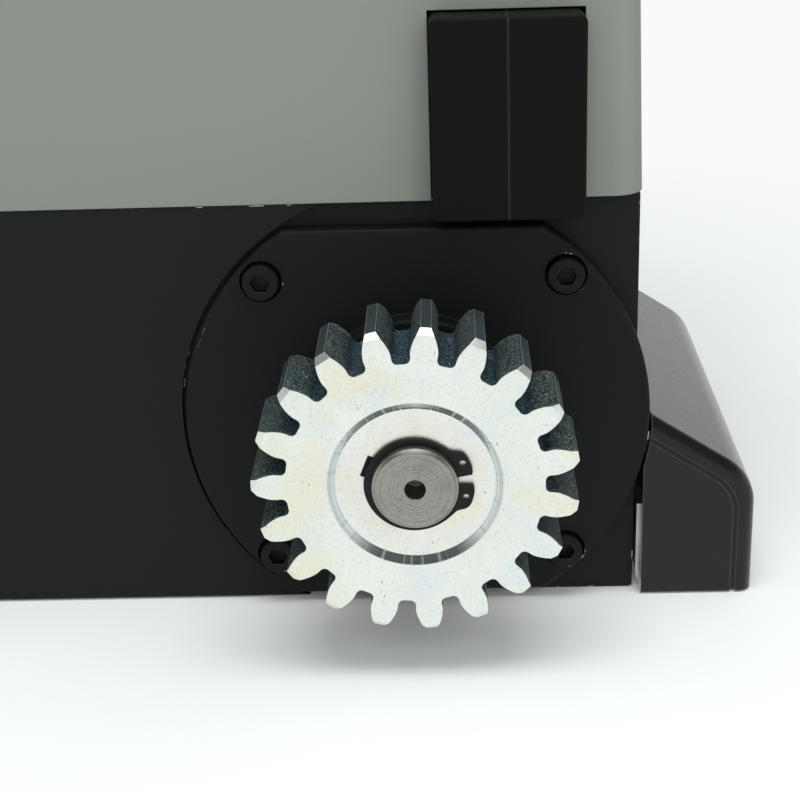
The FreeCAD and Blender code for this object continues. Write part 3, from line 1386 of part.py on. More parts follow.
# ---------------------------------------------------------------- assembly
def build():
    """Makes every node."""
    nodes["housing"] = make_housing()
    nodes["gearbox_cover_plate"] = make_cover_plate()
    nodes["cover_plate_seal"] = make_plate_seal()
    nodes["cover_plate_screws"] = make_plate_screws()
    nodes["shaft_seal"] = make_shaft_seal()
    nodes["front_bearing_outer"], nodes["front_bearing_inner"] = make_front_bearing()
    nodes["rear_bearing_outer"], nodes["rear_bearing_inner"] = make_tail_bearing()
    nodes["output_shaft"] = make_output_shaft()
    nodes["pinion"] = make_pinion()
    nodes["pinion_key"] = key_slot(key_depth_shaft, key_depth_hub, key_front_y, key_back_y)
    nodes["pinion_circlip"] = make_circlip()
    nodes["clutch_sleeve"] = make_clutch_sleeve()
    nodes["clutch_pin"] = make_clutch_pin()
    nodes["release_rod"] = make_release_rod()
    nodes["clutch_spring"] = make_clutch_spring()
    nodes["worm_wheel_rim"] = make_wheel_rim()
    nodes["worm_wheel_hub"] = make_wheel_hub()
    nodes["worm_wheel_bush"] = make_wheel_bush()
    nodes["worm_shaft"] = make_worm_shaft()
    nodes["rotor"] = make_rotor()
    lower, upper, top = make_worm_bearings()
    nodes["worm_lower_bearing_outer"], nodes["worm_lower_bearing_inner"] = lower
    nodes["worm_upper_bearing_outer"], nodes["worm_upper_bearing_inner"] = upper
    nodes["motor_top_bearing_outer"], nodes["motor_top_bearing_inner"] = top
    nodes["motor_flange"] = make_motor_flange()
    nodes["motor_flange_screws"] = make_flange_screws()
    nodes["stator_core"] = make_stator_core()
    nodes["stator_windings"] = make_windings()
    nodes["motor_end_shield"] = make_end_shield()
    nodes["motor_tie_bolts"] = make_tie_bolts()
    nodes["top_cover"] = make_top_cover()
    nodes["top_cover_screws"] = make_cover_screws()
    nodes["cover_gasket"] = make_cover_gasket()
    nodes["limit_switch_case_left"] = make_limit_case(-1)
    nodes["limit_switch_case_right"] = make_limit_case(1)
    nodes["limit_switch_sensor"] = make_limit_sensor()
    nodes["limit_switch_screws"] = make_limit_screws()
    bracket = make_foot_bracket()
    nodes["foot_bracket_right"] = bracket
    nodes["foot_bracket_left"] = mirrored(bracket)
    nodes["foot_bracket_screws"] = make_foot_bracket_screws()
    cover = make_foot_cover()
    nodes["foot_cover_right"] = cover.cut(plate_clearance())
    nodes["foot_cover_left"] = mirrored(cover)
    nodes["release_bracket"] = make_release_bracket()
    nodes["release_bracket_screws"] = make_release_screws()
    nodes["release_lever"] = make_release_lever()
    nodes["lever_pivot_pin"] = make_pivot_pin()
    nodes["lock_barrel"] = make_lock_barrel()
    nodes["run_capacitor"] = make_capacitor()
    nodes["capacitor_clip"] = make_capacitor_clip()
    nodes["transformer"] = make_transformer()
    nodes["board_carrier"] = make_board_carrier()
    nodes["circuit_board"] = make_circuit_board()
    nodes["terminal_blocks"] = make_terminal_blocks()
    nodes["board_screws"] = make_board_screws()
    nodes["cable_grommet"] = make_cable_grommet()


build()
os.makedirs("parts", exist_ok=True)
for name, shape in nodes.items():
    solids = shape.Solids
    print(f"{name}: {len(solids)} solid(s), {sum(s.Volume for s in solids):.0f} mm3, valid {shape.isValid()}")
    shape.exportStep(f"parts/{name}.step")
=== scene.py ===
"""Finishes of the sliding gate motor, the formed lugs of its circlip, its studio and its camera."""
import json
import math

import bpy
import numpy as np
from mathutils import Matrix, Vector


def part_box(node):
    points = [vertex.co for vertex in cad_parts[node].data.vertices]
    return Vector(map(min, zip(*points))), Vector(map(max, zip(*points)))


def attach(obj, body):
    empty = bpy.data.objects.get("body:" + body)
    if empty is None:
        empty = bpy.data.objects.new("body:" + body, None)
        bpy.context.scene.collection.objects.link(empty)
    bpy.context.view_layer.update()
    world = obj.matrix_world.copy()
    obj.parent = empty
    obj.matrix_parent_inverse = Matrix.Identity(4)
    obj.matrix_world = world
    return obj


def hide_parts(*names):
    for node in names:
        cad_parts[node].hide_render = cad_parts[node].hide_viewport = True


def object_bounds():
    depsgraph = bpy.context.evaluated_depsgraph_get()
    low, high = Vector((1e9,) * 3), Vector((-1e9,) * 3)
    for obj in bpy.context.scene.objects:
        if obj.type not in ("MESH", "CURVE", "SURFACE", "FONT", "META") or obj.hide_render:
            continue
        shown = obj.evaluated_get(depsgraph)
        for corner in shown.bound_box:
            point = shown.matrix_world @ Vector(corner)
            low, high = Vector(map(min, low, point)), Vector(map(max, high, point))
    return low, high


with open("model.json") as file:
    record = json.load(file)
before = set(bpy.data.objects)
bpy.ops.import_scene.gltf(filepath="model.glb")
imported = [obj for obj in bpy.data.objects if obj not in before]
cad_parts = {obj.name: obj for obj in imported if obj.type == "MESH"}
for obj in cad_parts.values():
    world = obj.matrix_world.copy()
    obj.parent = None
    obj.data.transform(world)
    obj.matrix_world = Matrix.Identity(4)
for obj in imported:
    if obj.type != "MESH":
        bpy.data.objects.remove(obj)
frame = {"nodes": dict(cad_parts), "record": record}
cad_low, cad_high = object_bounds()

MM = 0.001

# Places on the motor; the recess is the turned hollow in the pinion's front face
shaft_low, shaft_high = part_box("output_shaft")
SHAFT_X = (shaft_low.x + shaft_high.x) / 2
SHAFT_Z = (shaft_low.z + shaft_high.z) / 2
WORM_X = sum(corner.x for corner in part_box("worm_shaft")) / 2
WORM_Y = sum(corner.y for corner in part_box("worm_shaft")) / 2
HOUSING_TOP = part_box("housing")[1].z
PINION_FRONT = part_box("pinion")[0].y
PINION_TIP = 42.0 * MM
PINION_ROOT = 33.0 * MM
RECESS_RIM = 22.5 * MM
RECESS_FLOOR = 20.5 * MM
RECESS_LEAN = 0.52

# Circlip about the shaft: angles in degrees from the middle of its gap, outer radii in millimetres
CLIP_INNER = 10.65 * MM
CLIP_GAP = 5.5
CLIP_LUG_END = 48.0
CLIP_TURN = math.radians(4.5)
CLIP_ANGLES = (5.5, 8, 11, 14, 25, 29, 32, 35, 38, 42, 50, 62, 180)
CLIP_RADII = (14.7, 15.0, 15.15, 15.2, 15.2, 15.0, 14.6, 13.9, 13.1, 12.75, 12.6, 12.6, 13.15)
CLIP_EYE = 0.85 * MM
CLIP_EYE_RADIUS = 13.4 * MM
CLIP_EYE_ANGLE = 20.5
CLIP_EYE_HALF = 9.0
CLIP_LUG_STEPS = 36
CLIP_BACK_STEPS = 106
CLIP_RINGS = 5
CLIP_EDGE = 0.12 * MM
CLIP_EDGE_ANGLE = math.radians(50)

# Edge radii, widths of worn bands and heights of grain that several finishes share
CAST_EDGE = 0.4 * MM
FORMED_EDGE = 0.3 * MM
GROUND_EDGE = 0.2 * MM
RUBBED_BAND = 0.5 * MM
CHIPPED_BAND = 0.7 * MM
MOULD_GRAIN = 0.04 * MM
METAL_GRAIN = 0.03 * MM
BEVEL_SAMPLES = 6
WEAR_STARTS = 0.995
WEAR_FULL = 0.86
NOISE_LOW = 0.3
NOISE_HIGH = 0.7

# Studio: sizes in metres, strengths of the room from 0 to 1
FLOOR_HALF = 4.0
FLOOR_DROP = 0.2 * MM
FLOOR_FADE_SEEN = (0.24, 0.5)
# Painted reflection: distances over which the floor starts to glow white in reflections.
FLOOR_GLOW_IN_REFLECTIONS = (0.05, 0.16)
ROOM_WHITE = 0.98
ROOM_MIRRORED = (0.17, 0.42, ROOM_WHITE, 0.04)
ROOM_LAMP = (0.0, 1.0, 0.45, 0.75)

# Camera, measured from the middle of the pinion's face
EYE = Vector((9.80, -386.03, 179.19)) * MM
EYE_PITCH = math.radians(21.953)
EYE_YAW = math.radians(-1.916)
EYE_ROLL = math.radians(-1.944)
LENS = 75.55


# ------------------------------------------------------------ finish building
def shade(red, green, blue):
    """Linear colour of an sRGB colour given from 0 to 255."""
    part = np.array([red, green, blue]) / 255
    linear = np.where(part <= 0.04045, part / 12.92, ((part + 0.055) / 1.055) ** 2.4)
    return (float(linear[0]), float(linear[1]), float(linear[2]), 1.0)


def put(links, value, socket):
    """Links a socket to an output, or gives it a plain value."""
    if isinstance(value, bpy.types.NodeSocket):
        links.new(value, socket)
    else:
        socket.default_value = value


def set_range(node, numbers):
    """Fills a map range node: low, high and the values given at each."""
    for number, socket in zip(numbers, list(node.inputs)[1:5]):
        socket.default_value = number


def add_object(name, data):
    """New object of some data, linked to the scene."""
    thing = bpy.data.objects.new(name, data)
    bpy.context.scene.collection.objects.link(thing)
    return thing


class Finish:
    """A procedural material on Object coordinates, with short calls for its patterns."""

    def __init__(self, name, roughness=0.5, metallic=0.0, specular=0.5):
        """Starts a material from a plain shader."""
        self.material = bpy.data.materials.new(name)
        self.material.use_nodes = True
        self.nodes = self.material.node_tree.nodes
        self.links = self.material.node_tree.links
        self.shader = self.nodes["Principled BSDF"]
        self.shader.inputs["Roughness"].default_value = roughness
        self.shader.inputs["Metallic"].default_value = metallic
        self.shader.inputs["Specular IOR Level"].default_value = specular
        self.place = self.nodes.new("ShaderNodeTexCoord").outputs["Object"]
        self.relief = None

    def put(self, value, socket):
        """Links a socket of this material, or gives it a plain value."""
        put(self.links, value, socket)

    def calc(self, operation, first, second=0.0, third=0.0):
        """One arithmetic step on sockets or numbers."""
        node = self.nodes.new("ShaderNodeMath")
        node.operation = operation
        for value, socket in zip((first, second, third), node.inputs):
            self.put(value, socket)
        return node.outputs[0]

    def plus(self, first, second):
        """first + second."""
        return self.calc("ADD", first, second)

    def minus(self, first, second):
        """first - second."""
        return self.calc("SUBTRACT", first, second)

    def times(self, first, second):
        """first * second."""
        return self.calc("MULTIPLY", first, second)

    def scaled(self, value, factor, offset):
        """value * factor + offset."""
        return self.calc("MULTIPLY_ADD", value, factor, offset)

    def stretched(self, stretch):
        """Object coordinates scaled per axis."""
        mapping = self.nodes.new("ShaderNodeMapping")
        mapping.inputs["Scale"].default_value = stretch
        self.links.new(self.place, mapping.inputs["Vector"])
        return mapping.outputs[0]

    def noise(self, scale, detail=4.0, roughness=0.55, stretch=(1, 1, 1), distortion=0.0):
        """Fractal noise, scale in features per metre, stretched per axis."""
        node = self.nodes.new("ShaderNodeTexNoise")
        node.inputs["Scale"].default_value = scale
        node.inputs["Detail"].default_value = detail
        node.inputs["Roughness"].default_value = roughness
        node.inputs["Distortion"].default_value = distortion
        self.links.new(self.stretched(stretch), node.inputs["Vector"])
        return node.outputs["Fac"]

    def cells(self, scale, stretch=(1, 1, 1)):
        """Distance to the nearest of scattered points, scale in points per metre."""
        node = self.nodes.new("ShaderNodeTexVoronoi")
        node.inputs["Scale"].default_value = scale
        self.links.new(self.stretched(stretch), node.inputs["Vector"])
        return node.outputs["Distance"]

    def grooves(self, value, pitch):
        """Uneven rings: noise along one length, with features of about one pitch."""
        node = self.nodes.new("ShaderNodeTexNoise")
        node.noise_dimensions = "1D"
        node.inputs["Scale"].default_value = 1 / pitch
        node.inputs["Detail"].default_value = 3.0
        self.links.new(value, node.inputs["W"])
        return node.outputs["Fac"]

    def waves(self, value, pitch):
        """Sine ripples of a length in metres, from 0 to 1, one per pitch."""
        turn = self.times(value, 2 * math.pi / pitch)
        return self.scaled(self.calc("SINE", turn), 0.5, 0.5)

    def axis(self, name):
        """One Object coordinate, in metres."""
        node = self.nodes.new("ShaderNodeSeparateXYZ")
        self.links.new(self.place, node.inputs[0])
        return node.outputs[name]

    def facing(self, name):
        """One component of the surface's normal."""
        geometry = self.nodes.new("ShaderNodeNewGeometry")
        node = self.nodes.new("ShaderNodeSeparateXYZ")
        self.links.new(geometry.outputs["True Normal"], node.inputs[0])
        return node.outputs[name]

    def radius(self, first, first_centre, second, second_centre):
        """Distance from an axis that runs along the third coordinate."""
        one = self.minus(self.axis(first), first_centre)
        two = self.minus(self.axis(second), second_centre)
        return self.calc("SQRT", self.plus(self.times(one, one), self.times(two, two)))

    def between(self, value, low, high, out_low=0.0, out_high=1.0):
        """Clamped smooth step of a value from low..high to out_low..out_high."""
        node = self.nodes.new("ShaderNodeMapRange")
        node.interpolation_type = "SMOOTHSTEP"
        set_range(node, (low, high, out_low, out_high))
        self.links.new(value, node.inputs["Value"])
        return node.outputs[0]

    def varied(self, pattern, low, high):
        """A value from low to high over the range that a noise mostly keeps to."""
        return self.between(pattern, NOISE_LOW, NOISE_HIGH, low, high)

    def mix(self, factor, first, second):
        """Blend of two colours."""
        node = self.nodes.new("ShaderNodeMix")
        node.data_type = "RGBA"
        self.put(factor, node.inputs["Factor"])
        self.put(first, node.inputs[6])
        self.put(second, node.inputs[7])
        return node.outputs[2]

    def rounded_normal(self, radius):
        """Normal with the sharp edges rounded by a radius in metres."""
        node = self.nodes.new("ShaderNodeBevel")
        node.samples = BEVEL_SAMPLES
        node.inputs["Radius"].default_value = radius
        return node.outputs[0]

    def worn_edge(self, radius):
        """Mask of the narrow band along sharp edges, where rounded and true normals differ."""
        geometry = self.nodes.new("ShaderNodeNewGeometry")
        dot = self.nodes.new("ShaderNodeVectorMath")
        dot.operation = "DOT_PRODUCT"
        self.links.new(self.rounded_normal(radius), dot.inputs[0])
        self.links.new(geometry.outputs["Normal"], dot.inputs[1])
        return self.between(dot.outputs["Value"], WEAR_STARTS, WEAR_FULL)

    def soft_edges(self, radius):
        """Rounds the look of sharp edges by a radius in metres, under any relief."""
        self.relief = self.rounded_normal(radius)

    def turned_cone(self, mask, radius, inward):
        """Exact normal of a cone about the shaft, leaning inward by a sine, where a mask is 1:
        (-inward * x / radius, -sqrt(1 - inward^2), -inward * z / radius)."""
        turn = self.calc("DIVIDE", -inward, radius)
        vector = self.nodes.new("ShaderNodeCombineXYZ")
        self.put(self.times(self.minus(self.axis("X"), SHAFT_X), turn), vector.inputs["X"])
        self.put(-math.sqrt(1 - inward ** 2), vector.inputs["Y"])
        self.put(self.times(self.minus(self.axis("Z"), SHAFT_Z), turn), vector.inputs["Z"])
        world = self.nodes.new("ShaderNodeVectorTransform")
        world.vector_type = "NORMAL"
        world.convert_from = "OBJECT"
        world.convert_to = "WORLD"
        self.links.new(vector.outputs[0], world.inputs[0])
        blend = self.nodes.new("ShaderNodeMix")
        blend.data_type = "VECTOR"
        self.put(mask, blend.inputs["Factor"])
        self.links.new(self.relief, blend.inputs[4])
        self.links.new(world.outputs[0], blend.inputs[5])
        self.relief = blend.outputs[1]

    def bump(self, height, distance, strength=1.0):
        """Adds relief: height from 0 to 1 times a distance in metres."""
        node = self.nodes.new("ShaderNodeBump")
        node.inputs["Distance"].default_value = distance
        node.inputs["Strength"].default_value = strength
        self.links.new(height, node.inputs["Height"])
        if self.relief is not None:
            self.links.new(self.relief, node.inputs["Normal"])
        self.relief = node.outputs[0]

    def done(self, colour, roughness=None):
        """Joins the colour, the roughness and the relief to the shader."""
        self.put(colour, self.shader.inputs["Base Color"])
        if roughness is not None:
            self.links.new(roughness, self.shader.inputs["Roughness"])
        if self.relief is not None:
            self.links.new(self.relief, self.shader.inputs["Normal"])
        return self.material


# ------------------------------------------------------------ paints and mouldings
def black_paint(name, dark, pale, chip_shade):
    """Satin black paint on a casting: orange peel, dust, a few chips and paler edges, partly rubbed
    wear and partly a painted edge highlight.
    """
    paint = Finish(name, roughness=0.55, specular=0.12)
    peel = paint.noise(900, 3)
    cloud = paint.noise(18, 4, 0.6)
    ragged = paint.between(paint.noise(450, 5, 0.7), 0.50, 0.72)
    rubbed_and_highlit_edges = paint.times(paint.worn_edge(RUBBED_BAND), paint.scaled(ragged, 0.5, 0.25))
    flaked = paint.between(paint.noise(210, 2), 0.62, 0.66)
    chips = paint.times(paint.worn_edge(CHIPPED_BAND), flaked)
    specks = paint.between(paint.cells(260), 0.055, 0.03, 0.0, 0.5)
    dust = paint.times(specks, paint.between(paint.noise(30, 2), 0.5, 0.7))
    ground = paint.mix(cloud, dark, pale)
    # Pale edge band: partly rubbed wear, partly a painted highlight along the edges.
    ground = paint.mix(rubbed_and_highlit_edges, ground, shade(66, 70, 68))
    ground = paint.mix(dust, ground, shade(74, 77, 76))
    ground = paint.mix(chips, ground, chip_shade)
    paint.soft_edges(CAST_EDGE)
    paint.bump(peel, 0.05 * MM, 0.5)
    return paint.done(ground, paint.varied(cloud, 0.5, 0.62))


def housing_paint():
    """Paint of the gearbox housing."""
    return black_paint(
        "housing_black_paint", shade(22, 23, 23), shade(27, 28, 28), shade(200, 204, 200))


def plate_paint():
    """Paint of the round plate, a shade darker than the housing's."""
    return black_paint(
        "gearbox_plate_paint", shade(19, 20, 20), shade(24, 25, 25), shade(186, 190, 186))


def grey_moulding():
    """Matt grey moulding: spark-eroded grain, faint flow clouds and painted shade along the low
    edge next to the housing.
    """
    skin = Finish("cover_grey_moulding", roughness=0.55, specular=0.25)
    grain = skin.noise(1400, 3, 0.6)
    cloud = skin.noise(7, 3)
    # Painted shade: the cover's lowest 30 mm darken towards the top of the housing.
    low = skin.between(skin.axis("Z"), HOUSING_TOP + 30 * MM, HOUSING_TOP, 0.0, 0.35)
    ground = skin.mix(cloud, shade(121, 127, 119), shade(128, 133, 126))
    ground = skin.mix(low, ground, shade(116, 122, 113))
    skin.soft_edges(CAST_EDGE)
    skin.bump(grain, MOULD_GRAIN, 0.45)
    return skin.done(ground, skin.varied(grain, 0.5, 0.62))


def plain_moulding(name, dark, pale, grain_scale, roughness, rim=0.25, specular=0.35, coat=0.0):
    """Moulded plastic: fine grain, slight colour clouds and a painted highlight along the edges, in
    a mid grey.
    """
    skin = Finish(name, roughness=roughness, specular=specular)
    skin.shader.inputs["Coat Weight"].default_value = coat
    skin.shader.inputs["Coat IOR"].default_value = 1.25
    skin.shader.inputs["Coat Roughness"].default_value = 0.3
    grain = skin.noise(grain_scale, 3, 0.6)
    cloud = skin.noise(25, 4)
    # Painted highlight: a grey band along sharp edges, its share given by rim.
    edge = skin.times(skin.worn_edge(RUBBED_BAND), rim)
    ground = skin.mix(cloud, dark, pale)
    ground = skin.mix(edge, ground, shade(130, 134, 132))
    skin.soft_edges(FORMED_EDGE)
    skin.bump(grain, MOULD_GRAIN, 0.4)
    return skin.done(ground, skin.varied(grain, roughness - 0.05, roughness + 0.08))


def rubber():
    """Matt black rubber with a chalky bloom."""
    skin = Finish("seal_black_rubber", roughness=0.8, specular=0.3)
    bloom = skin.noise(120, 5, 0.65)
    ground = skin.mix(bloom, shade(20, 20, 20), shade(44, 44, 43))
    skin.bump(skin.noise(900, 2), MOULD_GRAIN, 0.5)
    return skin.done(ground, skin.varied(bloom, 0.7, 0.9))


# ------------------------------------------------------------ the pinion's plating
def pinion_face(metal, radius, cloud):
    """Front of the pinion: frosted bright zinc, stained blue and straw, with small dark pits."""
    face = metal.mix(cloud, shade(247, 250, 243), shade(230, 238, 234))
    blue = metal.between(metal.noise(95, 4, 0.6, distortion=0.6), 0.50, 0.66, 0.0, 0.4)
    face = metal.mix(blue, face, shade(222, 234, 246))
    straw = metal.between(metal.noise(34, 5, 0.65), 0.46, 0.62, 0.0, 0.65)
    face = metal.mix(straw, face, shade(241, 238, 212))
    halo = metal.between(radius, 21.0 * MM, 16.5 * MM, 0.0, 0.55)
    face = metal.mix(metal.times(halo, cloud), face, shade(240, 226, 214))
    frost = metal.between(metal.noise(1500, 3, 0.7), 0.50, 0.70, 0.0, 0.4)
    face = metal.mix(frost, face, shade(186, 194, 188))
    pits = metal.between(metal.cells(520, (1, 1, 0.45)), 0.13, 0.07, 0.0, 0.75)
    pitted = metal.times(pits, metal.between(metal.noise(75, 3), 0.5, 0.62))
    return metal.mix(pitted, face, shade(104, 108, 100))


def pinion_teeth(metal, radius, cloud, mottle):
    """Sides of the teeth: mottled flanks with cutter rows, blue roots, painted glints and dull
    tips.
    """
    wavering = metal.plus(metal.axis("Y"), metal.times(mottle, 0.2 * MM))
    rows = metal.times(metal.waves(wavering, 0.75 * MM), 0.45)
    flank = metal.mix(mottle, shade(40, 54, 58), shade(128, 146, 142))
    flank = metal.mix(rows, flank, shade(40, 52, 56))
    deep = metal.between(radius, PINION_ROOT + 4.5 * MM, PINION_ROOT + 0.5 * MM, 0.0, 0.75)
    root = metal.mix(mottle, shade(24, 44, 56), shade(84, 118, 132))
    flank = metal.mix(deep, flank, root)
    # Painted glints: scattered near-white specks on the flanks stand in for specular sparkle.
    painted_glint_specks = metal.between(metal.cells(1100), 0.26, 0.16, 0.0, 0.9)
    painted_glints = metal.times(painted_glint_specks, metal.between(metal.noise(200, 2), 0.47, 0.6))
    flank = metal.mix(painted_glints, flank, shade(226, 236, 232))
    tip = metal.mix(cloud, shade(56, 66, 70), shade(80, 92, 96))
    outermost = metal.between(radius, PINION_TIP - 0.6 * MM, PINION_TIP - 0.2 * MM)
    return metal.mix(outermost, flank, tip)


def pinion_plating():
    """Zinc plating on the pinion: bright face, dull teeth and a recess with chatter marks."""
    metal = Finish("pinion_zinc_plating", roughness=0.36, metallic=0.9)
    radius = metal.radius("X", SHAFT_X, "Z", SHAFT_Z)
    cloud = metal.noise(70, 5, 0.6)
    mottle = metal.between(metal.noise(1300, 4, 0.8, (1, 0.7, 1)), 0.40, 0.62)
    front = metal.between(metal.facing("Y"), -0.35, -0.6)
    side = metal.minus(1.0, front)
    recess = metal.between(radius, RECESS_RIM + 0.2 * MM, RECESS_RIM - 0.2 * MM)
    off_floor = metal.between(radius, RECESS_FLOOR - 0.2 * MM, RECESS_FLOOR + 0.1 * MM)
    wall = metal.times(recess, off_floor)
    off_wall = metal.minus(1.0, wall)

    lathe_lines = metal.between(metal.grooves(radius, 0.25 * MM), 0.35, 0.65)
    turned = metal.mix(lathe_lines, shade(168, 175, 175), shade(226, 234, 232))
    face = pinion_face(metal, radius, cloud)
    ground = metal.mix(front, pinion_teeth(metal, radius, cloud, mottle), face)
    ground = metal.mix(wall, ground, turned)
    edge = metal.times(metal.worn_edge(0.35 * MM), 0.6)
    ground = metal.mix(edge, ground, shade(236, 240, 232))

    metal.soft_edges(GROUND_EDGE)
    metal.turned_cone(wall, radius, RECESS_LEAN)
    rings = metal.waves(radius, 0.4 * MM)
    ring_height = metal.scaled(metal.minus(recess, wall), 0.8, 0.2)
    metal.bump(metal.times(rings, ring_height), 0.008 * MM, 0.3)
    metal.bump(metal.times(mottle, side), 0.15 * MM, 0.8)

    dull = metal.times(side, off_wall)
    metal.put(metal.scaled(dull, -0.35, 0.9), metal.shader.inputs["Metallic"])
    turn = metal.calc("ARCTAN2", metal.minus(metal.axis("Z"), SHAFT_Z),
                      metal.minus(metal.axis("X"), SHAFT_X))
    chatter = metal.between(metal.grooves(turn, 0.07), 0.58, 0.64, 0.12, 0.42)
    rough = metal.scaled(dull, 0.15, metal.varied(cloud, 0.3, 0.42))
    rough = metal.plus(metal.times(rough, off_wall), metal.times(chatter, wall))
    return metal.done(ground, rough)


# ------------------------------------------------------------ other metals and boards
def turned_steel(name, dark, pale, pitch, roughness):
    """Turned metal: fine uneven tool rings about the shaft, with a slight oil stain."""
    metal = Finish(name, roughness=roughness, metallic=1.0)
    radius = metal.radius("X", SHAFT_X, "Z", SHAFT_Z)
    drift = metal.times(metal.noise(260, 4, 0.7), 0.4 * MM)
    rings = metal.varied(metal.grooves(metal.plus(radius, drift), pitch), 0.0, 1.0)
    stain = metal.noise(160, 4, 0.6)
    tone = metal.scaled(rings, 0.8, metal.times(stain, 0.2))
    ground = metal.mix(tone, dark, pale)
    oil = metal.between(stain, 0.52, 0.75, 0.0, 0.25)
    ground = metal.mix(oil, ground, shade(108, 106, 96))
    grain = metal.between(metal.noise(1600, 3, 0.7), 0.45, 0.75, 0.0, 0.4)
    ground = metal.mix(grain, ground, shade(90, 92, 88))
    metal.soft_edges(FORMED_EDGE)
    metal.bump(rings, 0.006 * MM, 0.4)
    return metal.done(ground, metal.varied(stain, roughness - 0.05, roughness + 0.1))


def plated_sheet(name, dark, pale, roughness=0.38):
    """Bright zinc plate on sheet metal: spangle clouds and light scratches."""
    metal = Finish(name, roughness=roughness, metallic=1.0)
    spangle = metal.cells(140)
    scratch = metal.between(metal.noise(300, 4, 0.7, (1, 0.06, 1)), 0.6, 0.75, 0.0, 0.5)
    ground = metal.mix(spangle, dark, pale)
    ground = metal.mix(scratch, ground, shade(226, 229, 228))
    metal.soft_edges(FORMED_EDGE)
    metal.bump(metal.noise(500, 3), METAL_GRAIN, 0.4)
    rough = metal.between(spangle, 0.1, 0.6, roughness - 0.06, roughness + 0.1)
    return metal.done(ground, rough)


def black_oxide():
    """Black oxide on cap screws, worn grey where a key or a head rubs."""
    metal = Finish("screw_black_oxide", roughness=0.42, metallic=0.5, specular=0.2)
    cloud = metal.noise(420, 4, 0.6)
    edge = metal.times(metal.worn_edge(0.3 * MM), 0.5)
    ground = metal.mix(cloud, shade(18, 18, 19), shade(30, 31, 32))
    ground = metal.mix(edge, ground, shade(84, 86, 88))
    metal.soft_edges(FORMED_EDGE)
    metal.bump(cloud, METAL_GRAIN, 0.4)
    return metal.done(ground, metal.varied(cloud, 0.36, 0.5))


def black_spring_steel():
    """Phosphated steel of the circlip and the key: near black with a thin oil sheen."""
    metal = Finish("circlip_black_spring_steel", roughness=0.4, metallic=0.5, specular=0.3)
    cloud = metal.noise(300, 4, 0.6)
    edge = metal.times(metal.worn_edge(0.2 * MM), 0.35)
    ground = metal.mix(cloud, shade(18, 19, 20), shade(34, 36, 37))
    ground = metal.mix(edge, ground, shade(110, 112, 112))
    metal.soft_edges(GROUND_EDGE)
    return metal.done(ground, metal.varied(cloud, 0.34, 0.48))


def cast_metal(name, dark, pale, roughness):
    """Sand or die cast skin: pebbled relief and cloudy colour."""
    metal = Finish(name, roughness=roughness, metallic=1.0)
    pebble = metal.noise(700, 4, 0.65)
    ground = metal.mix(metal.noise(60, 4), dark, pale)
    metal.soft_edges(CAST_EDGE)
    metal.bump(pebble, 0.08 * MM, 0.5)
    return metal.done(ground, metal.varied(pebble, roughness - 0.08, roughness + 0.1))


def stacked_sheets():
    """Edges of stacked laminations: fine level lines with varnish between them."""
    metal = Finish("core_laminations", roughness=0.45, metallic=0.8)
    lines = metal.waves(metal.axis("Z"), 1.0 * MM)
    metal.bump(lines, 0.06 * MM, 0.6)
    varnish = metal.between(metal.noise(80, 4), 0.45, 0.7, 0.0, 0.5)
    ground = metal.mix(lines, shade(74, 76, 80), shade(128, 131, 136))
    return metal.done(metal.mix(varnish, ground, shade(96, 74, 56)))


def copper_windings():
    """Enamelled copper wire, seen as fine turns round the motor's axis."""
    metal = Finish("winding_copper", roughness=0.3, metallic=0.9)
    climb = metal.plus(metal.radius("X", WORM_X, "Y", WORM_Y), metal.axis("Z"))
    turns = metal.waves(climb, 1.1 * MM)
    metal.bump(turns, 0.3 * MM, 0.8)
    return metal.done(metal.mix(turns, shade(120, 58, 26), shade(206, 124, 70)))


def board_laminate():
    """Glass laminate: woven base under the solder mask and raised copper tracks."""
    skin = Finish("board_solder_mask", roughness=0.32, specular=0.5)
    weave = skin.times(skin.waves(skin.axis("X"), 1.2 * MM), skin.waves(skin.axis("Z"), 1.2 * MM))
    tracks = skin.between(skin.cells(160, (1, 1, 0.3)), 0.40, 0.46)
    skin.bump(tracks, MOULD_GRAIN, 0.7)
    mask = skin.mix(weave, shade(22, 84, 44), shade(30, 98, 54))
    return skin.done(skin.mix(tracks, mask, shade(42, 122, 66)))


